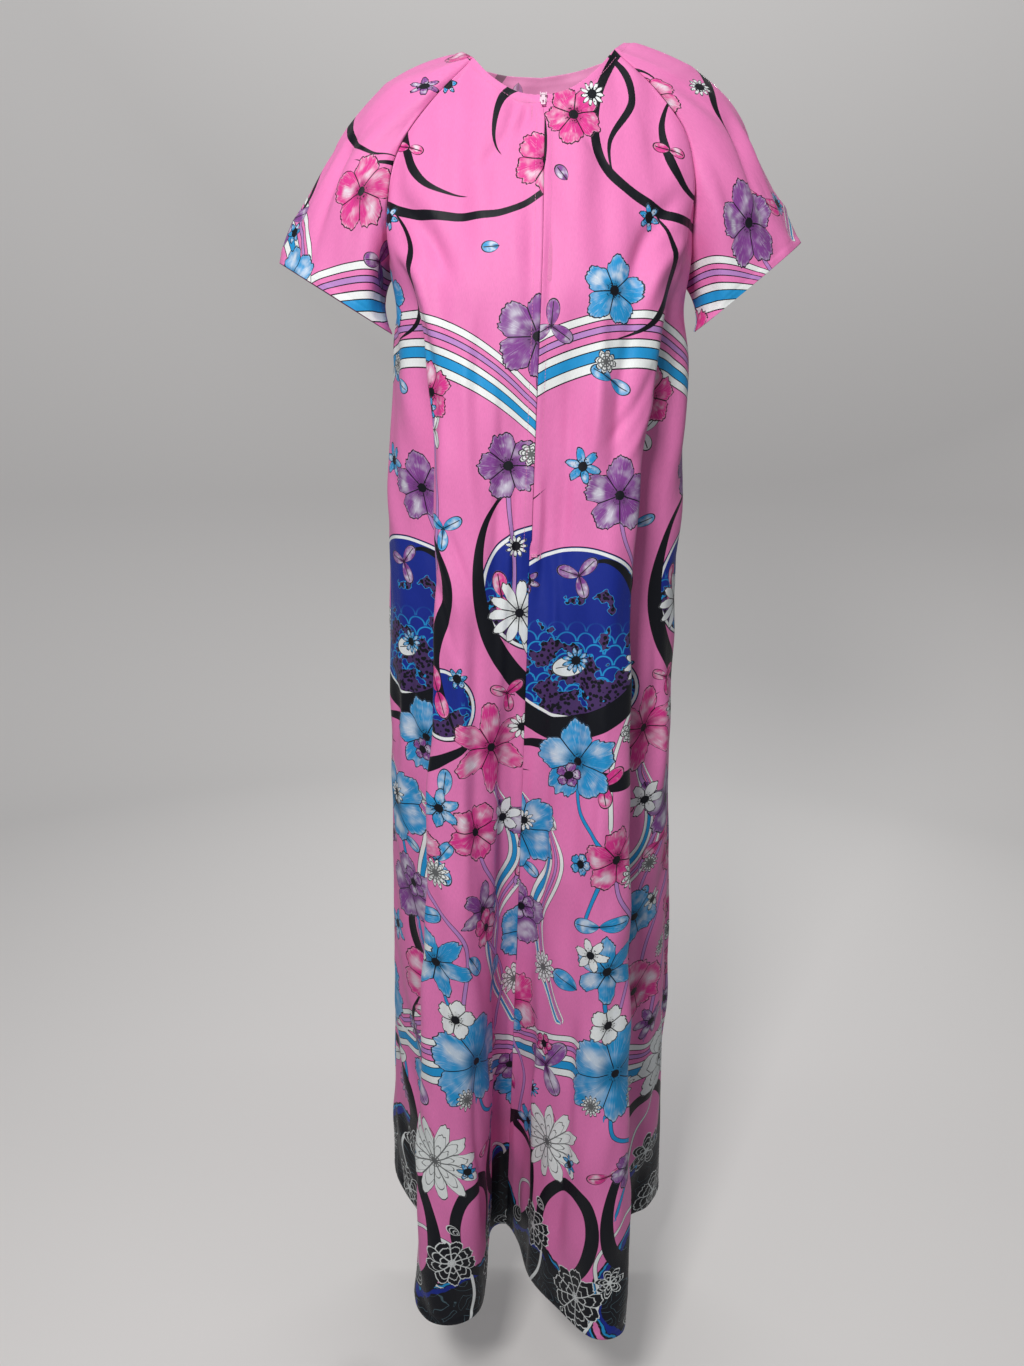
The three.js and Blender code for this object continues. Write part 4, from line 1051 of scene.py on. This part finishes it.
def printed_satin():
    m = Nodes("printed_satin")
    s, t, inside = m.xyz(m.attribute("cloth")["Vector"])
    colour = border(m, INK["pink"], s, t, m.xyz(m.attribute("hem")["Vector"])[0])
    colour = discs(m, colour, s, t)
    k, w, pink = INK["black"], INK["white"], INK["pink"]
    stripes = [
        (0.0, k), (0.022, w), (0.17, k), (0.19, INK["sky"]), (0.36, k), (0.38, w), (0.5, k), (0.52, pink),
        (0.63, k), (0.65, INK["lilac"]), (0.74, k), (0.76, pink), (0.84, k), (0.86, w), (0.978, k),
    ]
    for layer in (1, 2):
        lateral, off, _ = m.xyz(m.attribute(f"band{layer}")["Vector"])
        colour = m.mix(off.step(0.15, -0.15), colour, m.stops(lateral * 0.5 + 0.5, stripes))
    for layer in (1, 2):
        lateral, off, tone = m.xyz(m.attribute(f"stem{layer}")["Vector"])
        wide = abs(lateral)
        ink = m.stops(tone, [(0.0, INK["sky"]), (0.33, INK["lilac"]), (0.66, w)])
        colour = m.mix(wide.step(2.6, 2.3) * off.step(8.0, 7.0), colour, m.mix(wide.step(1.7, 2.0), ink, k))
    for layer in (1, 2, 3):
        lateral, off, half = m.xyz(m.attribute(f"vine{layer}")["Vector"])
        drawn = (abs(lateral) - half).step(0.2, -0.2) * half.step(0.3, 0.5)
        colour = m.mix(drawn * off.step(4.5, 3.5), colour, k)
    for layer in ("a", "b", "c"):
        colour = petals(m, layer, colour)
    # Threads, a faint unevenness, and the paler wrong side.
    threads = m.noise(m.vector(s * 1.6, t * 0.22), 1.0, 3.0, 0.6)
    colour = m.mix(threads.step(0.8, 0.25) * 0.12, colour, (0, 0, 0))
    colour = m.mix(inside, colour, m.mix(0.35, colour, (0.8, 0.42, 0.6)))
    weave = m.math("SINE", s * (2 * math.pi / 0.55)) * m.math("SINE", t * (2 * math.pi / 0.7))
    soft = m.noise(m.vector(s * 0.05, t * 0.018), 1.0, 3.0, 0.5)
    normal = m.bump(soft, 0.5, 0.0022, m.bump(weave, 0.25, 0.00008))
    rough = m.noise(m.vector(s * 0.5, t * 0.08), 1.0) * 0.16 + 0.4
    return m.surface(
        Base_Color=colour, Roughness=rough, Normal=normal, Sheen_Weight=0.02, Sheen_Roughness=0.4,
        Specular_IOR_Level=0.16,
    )


def plain(name, colour, roughness, metallic=0.0, weave=0.0):
    """A plain material with a fine grain, or a tape's ribbed weave."""
    m = Nodes(name)
    where = m.add("ShaderNodeTexCoord").outputs["Object"]
    _, _, z = m.xyz(where)
    grain = m.noise(where, 900.0)
    tone = m.mix(grain.step(0.3, 0.7), tuple(c * 0.86 for c in colour), colour)
    height = grain + m.math("SINE", z * (2 * math.pi / 0.0009)) * weave
    return m.surface(
        Base_Color=tone, Roughness=grain * 0.15 + (roughness - 0.07), Metallic=metallic,
        Normal=m.bump(height, 0.3, 0.0001),
    )


satin = printed_satin()
thread = plain("pink_thread", (0.78, 0.27, 0.5), 0.6)
tape = plain("zip_tape_cloth", (0.7, 0.2, 0.42), 0.8, weave=1.0)
plastic = plain("zip_teeth_plastic", (0.76, 0.34, 0.54), 0.35)
enamel = plain("zip_enamel", (0.86, 0.66, 0.76), 0.22)


def sheet_area(outer):
    one, two = outer[1:, 1:] - outer[:-1, :-1], outer[1:, :-1] - outer[:-1, 1:]
    return float(0.5 * np.linalg.norm(np.cross(one, two), axis=-1).sum() * MM * MM)


for name, piece in PIECES.items():
    piece["object"].data.materials.append(satin)
    sheet_area(piece["outer"])


# Stitching and the zip.
STITCH, STITCH_GAP, STITCH_LIFT = 2.3, 0.8, 0.02
STITCH_DEPTH = 6.6  # from an edge to its line of stitches
SHOWN_STITCH_DEPTH = 8.4  # the same on the left front, from its cloth's edge behind the zip
ROD_SIDES = 5
ROD_RINGS = ((0.0, 0.45), (0.18, 1.0), (0.82, 1.0), (1.0, 0.45))  # share of the way, share of the radius
TOOTH_PITCH = 1.35


def rods(name, starts, ends, normals, radius, material):
    """Many short round rods with drawn-in ends as one object, such as stitches."""
    along = (ends - starts) / np.linalg.norm(ends - starts, axis=1, keepdims=True)
    side = np.cross(along, normals)
    side /= np.linalg.norm(side, axis=1, keepdims=True)
    up = np.cross(side, along)
    angles = 2 * np.pi * np.arange(ROD_SIDES) / ROD_SIDES
    ring = np.cos(angles)[None, :, None] * side[:, None] + np.sin(angles)[None, :, None] * up[:, None]
    rings = [(starts + (ends - starts) * share)[:, None] + ring * radius * wide for share, wide in ROD_RINGS]
    verts = np.stack(rings, 1).reshape(-1, 3)
    count = len(ROD_RINGS) * ROD_SIDES
    one = []
    for low in range(0, count - ROD_SIDES, ROD_SIDES):
        for i in range(ROD_SIDES):
            a, b = low + i, low + (i + 1) % ROD_SIDES
            one.append((a, b, b + ROD_SIDES, a + ROD_SIDES))
    one += [range(ROD_SIDES - 1, -1, -1), range(count - ROD_SIDES, count)]
    faces = [[base + i for i in face] for base in range(0, len(starts) * count, count) for face in one]
    obj = new_object(name, verts * MM, faces)
    obj.data.materials.append(material)
    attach(obj, "garment")
    return obj


def stitched(path, normals):
    """Starts, ends and normals of the stitches along a line on the cloth."""
    arc = arc_lengths(path)
    at = np.arange(0.5, arc[-1] - STITCH, STITCH + STITCH_GAP)
    here = lambda where, what: np.stack([np.interp(where, arc, what[:, k]) for k in range(3)], 1)
    n = here(at + STITCH / 2, normals)
    lift = n * STITCH_LIFT
    return here(at, path) + lift, here(at + STITCH, path) + lift, n


def line_at(piece, distance, depth, axis):
    """The line on a piece that is a given depth from one of its edges, walking along a grid axis."""
    grid, normals = piece["outer"], piece["normals"]
    if axis == 1:
        grid, normals, distance = (np.swapaxes(x, 0, 1) for x in (grid, normals, distance))
    points, directions = [], []
    for j in range(grid.shape[1]):
        d = distance[:, j]
        hits = np.nonzero((d[:-1] - depth) * (d[1:] - depth) <= 0)[0]
        if len(hits):
            i = hits[0]
            f = (depth - d[i]) / (d[i + 1] - d[i]) if d[i + 1] != d[i] else 0
            points.append(grid[i, j] + (grid[i + 1, j] - grid[i, j]) * f)
            directions.append(normals[i, j])
    return np.array(points), np.array(directions)


def all_stitches():
    """The stitches round the neckline, and down both sides of the zip."""
    lines = []
    for name, piece in PIECES.items():
        lines.append(line_at(piece, piece["edges"][0][0], STITCH_DEPTH, 0))
        if name.startswith("front"):
            depth = STITCH_DEPTH if name == "front_right" else SHOWN_STITCH_DEPTH
            path, n = line_at(piece, np.abs(piece["uv"][..., 0]), depth, 1)
            keep = (path[:, 2] > ZIP_END_Z - 6) & (path[:, 2] < ZIP_START_Z)
            lines.append((path[keep], n[keep]))
    return [np.concatenate(part) for part in zip(*(stitched(*line) for line in lines))]


starts, ends, stitch_normals = all_stitches()
rods("edge_stitching", starts, ends, stitch_normals, 0.22, thread)


def centre_line(z):
    """Points and outward normals of the cloth at the zip."""
    z_top = top_edge(np.array([0.0]))[0, 2]
    share = (z_top - z) / (z_top + LENGTH)
    here, up, down = body(0.0, share), body(0.0, share - 0.002), body(0.0, share + 0.002)
    along = down - up
    n = np.stack([0 * z, along[:, 2], -along[:, 1]], 1)
    n /= np.linalg.norm(n, axis=1, keepdims=True)
    here[:, 0] = 0
    return here, n


def zip_teeth():
    """Two rows of loops, each reaching past the middle between two of the other row."""
    z = np.arange(ZIP_START_Z - 1, ZIP_END_Z + 4, -TOOTH_PITCH / 2)
    here, n = centre_line(z)
    side = np.where(np.arange(len(z)) % 2 == 0, 1.0, -1.0)[:, None] * np.array([1.0, 0, 0])
    middle = here - n * 0.5
    return rods("zip_teeth", middle - side * 0.35, middle + side * 1.15, n, 0.44, plastic)


def bar_tack():
    """Close stitches across the zip's end."""
    z = np.linspace(ZIP_END_Z - 5, ZIP_END_Z - 8, 7)
    here, n = centre_line(z)
    lift = here + n * 0.75
    side = np.array([3.4, 0, 0])
    return rods("bar_tack", lift - side, lift + side, n, 0.3, thread)


teeth = zip_teeth()
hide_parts("zip_coil")
bar_tack()
CAD_MATERIALS = {"zip_tape_right": tape, "zip_tape_left": tape, "zip_slider": enamel, "zip_pull": enamel}
for node, material in CAD_MATERIALS.items():
    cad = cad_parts[node]
    cad.data.materials.clear()
    cad.data.materials.append(material)


# Floor, light and camera, in metres.
STAGE_SIDES = 96
FLOOR_Z, FLOOR_RADIUS, WALL_BEND, WALL_TOP_Z = -1.54, 2.3, 0.9, 2.9
CAMERA_PLACE = (-0.020, -1.14, -0.363)
CAMERA_TILT, CAMERA_ROLL = math.radians(76), math.radians(0.96)  # up from straight down, and then round
SENSOR_WIDTH, LENS = 36, 27.04  # in millimetres


def backdrop():
    """A round pale floor that curves up into a wall on every side."""
    m = Nodes("plain_backdrop")
    pale = m.surface(Base_Color=(0.72, 0.705, 0.69), Roughness=0.9)
    bend = [(WALL_BEND * math.sin(a), WALL_BEND * (1 - math.cos(a))) for a in np.linspace(0, math.pi / 2, 17)]
    profile = [(1.2, FLOOR_Z), *((FLOOR_RADIUS + out, FLOOR_Z + up) for out, up in bend)]
    profile.append((FLOOR_RADIUS + WALL_BEND, WALL_TOP_Z))
    around = np.linspace(0, 2 * math.pi, STAGE_SIDES + 1)[:-1]
    verts = [(r * math.cos(a), r * math.sin(a), z) for r, z in profile for a in around] + [(0, 0, FLOOR_Z)]
    faces = []
    for k in range(STAGE_SIDES):
        after = (k + 1) % STAGE_SIDES
        faces.append((len(verts) - 1, after, k))
        for i in range(0, len(verts) - 1 - STAGE_SIDES, STAGE_SIDES):
            faces.append((i + k, i + after, i + STAGE_SIDES + after, i + STAGE_SIDES + k))
    obj = new_object("backdrop", verts, faces)
    obj.data.materials.append(pale)
    obj.visible_diffuse = False


def lamp(name, place, aim, size, power, colour=(1, 1, 1)):
    data = bpy.data.lights.new(name, "AREA")
    data.shape, data.size, data.size_y = "RECTANGLE", size[0], size[1]
    data.energy, data.color = power, colour
    obj = bpy.data.objects.new(name, data)
    obj.location = place
    obj.rotation_euler = (Vector(aim) - Vector(place)).to_track_quat("-Z", "Y").to_euler()
    bpy.context.scene.collection.objects.link(obj)


backdrop()
lamp("key", (-0.42, -1.45, 0.5), (0, 0, -0.65), (0.35, 0.35), 27.5, (1.0, 0.98, 0.97))
lamp("back", (0.6, 2.4, 0.7), (0, 0, -0.7), (0.5, 0.5), 26)
lamp("wash_back", (0, 0.7, 2.3), (0, 3, 0.8), (2.4, 0.5), 44)
lamp("wash_front", (0, -0.7, 2.3), (0, -3, 0.8), (2.4, 0.5), 30)
world = bpy.data.worlds.new("studio")
world.use_nodes = True
colour, strength = world.node_tree.nodes["Background"].inputs[:2]
colour.default_value, strength.default_value = (0.95, 0.96, 1.0, 1), 0.2
bpy.context.scene.world = world
bpy.context.scene.view_settings.view_transform = "Standard"

camera_data = bpy.data.cameras.new("camera")
camera_data.sensor_width, camera_data.lens, camera_data.clip_start = SENSOR_WIDTH, LENS, 0.01
camera = bpy.data.objects.new("camera", camera_data)
camera.location = CAMERA_PLACE
camera.rotation_mode = "QUATERNION"
camera.rotation_quaternion = Euler((CAMERA_TILT, 0, 0)).to_quaternion() @ Quaternion((0, 0, 1), CAMERA_ROLL)
bpy.context.scene.collection.objects.link(camera)
bpy.context.scene.camera = camera
